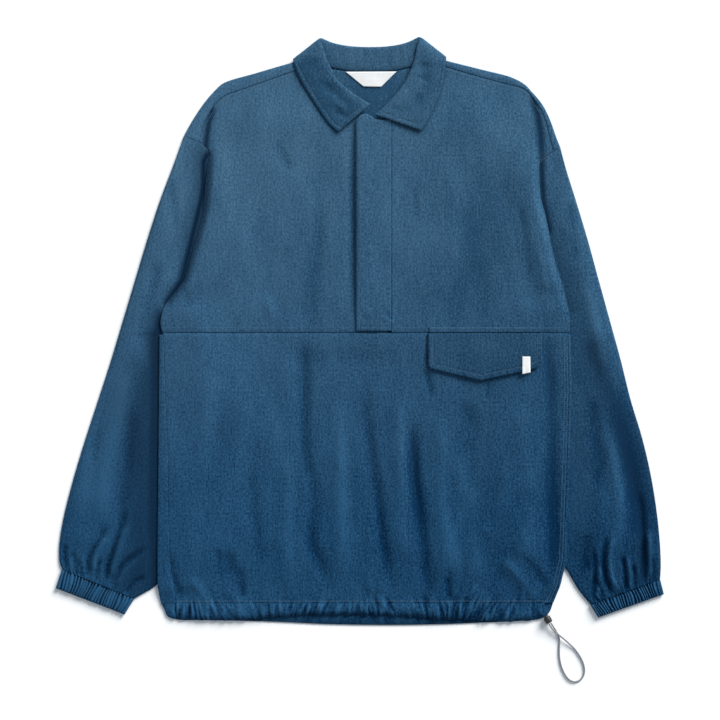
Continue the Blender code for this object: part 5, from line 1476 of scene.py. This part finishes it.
hem_back_plan = coons(
    hem_back_low, hem_back_up, corner_fold[0][:, :2], hem_back_right,
    np.linspace(0.0, 1.0, 190), np.linspace(0.0, 1.0, 16))
hem_back_main = raised(hem_back_plan, back_hem_top)
hem_back_main[:, 0, 2] = corner_fold[0][:, 2]
corner_seam = raised(np.column_stack([np.full(16, seam_x), corner_fold[-1][:, 1]]), smooth_top)
corner_seam[0, 0] = corner_fold[-1][0, 0] = min(seam_x, corner_fold[-1][0, 0])
corner_rows = [corner_seam]
for t in (0.7, 0.35):
    middle_row = corner_fold[-1] + (corner_seam - corner_fold[-1]) * t
    middle_row[:, 2] += 1.1 * math.sin(math.pi * t)
    corner_rows.append(middle_row)
corner_patch = np.stack([*corner_rows, *corner_fold[:0:-1], hem_back_main[:, 0]], axis=1)
# painted shade in the puckers and painted shadow where the back's casing shows below the front's
back_hem = cloth_piece(
    "back_hem_casing", [hem_back_main, corner_patch[1:]], flip=True,
    puckers=hem_puckers, painted_shade_lines=[(BACK_HEM[4:12], 6.0, 0.6)],
)
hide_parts("hem_back")

# ---------------------------------------------------------------- cord lock
# A small toggle that grips the cord: a barrel and a push button, both moulded in matt black
# plastic. The cord's two strands run through it.
LOCK_CENTRE = (254.4, -388.55, 5.4)
LOCK_TURN = -60.0


def moulded_black():
    material, tree, shader = new_material("black_plastic", 0.42)
    place = add_node(tree, "ShaderNodeTexCoord", output=3)
    grain = place.node("ShaderNodeTexNoise", (), {"Vector": place, "Scale": 1500.0, "Detail": 3.0})
    colour = grain.between(0.3, 0.7).mix((0.010, 0.010, 0.011), (0.028, 0.028, 0.030))
    tree.links.new(colour.socket, shader.inputs["Base Color"])
    tree.links.new((grain * 0.3 + 0.3).socket, shader.inputs["Roughness"])
    return material


bpy.ops.object.select_all(action="DESELECT")
bpy.ops.mesh.primitive_cylinder_add(vertices=40, radius=4.9 * MM, depth=7.6 * MM)
lock = bpy.context.object
lock.name = "toggle_lock"
bpy.ops.object.mode_set(mode="EDIT")
bpy.ops.mesh.select_all(action="DESELECT")
bpy.ops.mesh.select_mode(type="FACE")
bpy.ops.object.mode_set(mode="OBJECT")
for face in lock.data.polygons:
    face.select = face.normal.z < -0.9
bpy.ops.object.mode_set(mode="EDIT")
bpy.ops.mesh.inset(thickness=1.5 * MM)
bpy.ops.mesh.extrude_region_move(TRANSFORM_OT_translate={"value": (0.0, 0.0, -2.4 * MM)})
bpy.ops.object.mode_set(mode="OBJECT")
for face in lock.data.polygons:
    face.select = face.normal.z > 0.9
bpy.ops.object.mode_set(mode="EDIT")
bpy.ops.mesh.inset(thickness=0.9 * MM)
bpy.ops.mesh.extrude_region_move(TRANSFORM_OT_translate={"value": (0.0, 0.0, 0.8 * MM)})
bpy.ops.mesh.inset(thickness=1.4 * MM)
bpy.ops.mesh.extrude_region_move(TRANSFORM_OT_translate={"value": (0.0, 0.0, -0.7 * MM)})
bpy.ops.object.mode_set(mode="OBJECT")
rim = lock.modifiers.new("rim", "BEVEL")
rim.width = 0.45 * MM
rim.segments = 3
rim.limit_method = "ANGLE"
bpy.ops.object.modifier_apply(modifier="rim")
lock.rotation_euler = (math.radians(90.0), 0.0, math.radians(LOCK_TURN + 90.0))
lock.location = tuple((np.array(LOCK_CENTRE) - CENTRE) * MM)
bpy.ops.object.transform_apply(location=True, rotation=True, scale=True)
bpy.ops.object.shade_smooth_by_angle(angle=math.radians(35.0))
lock.data.materials.append(moulded_black())
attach(lock, "root")
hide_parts("cord_lock")
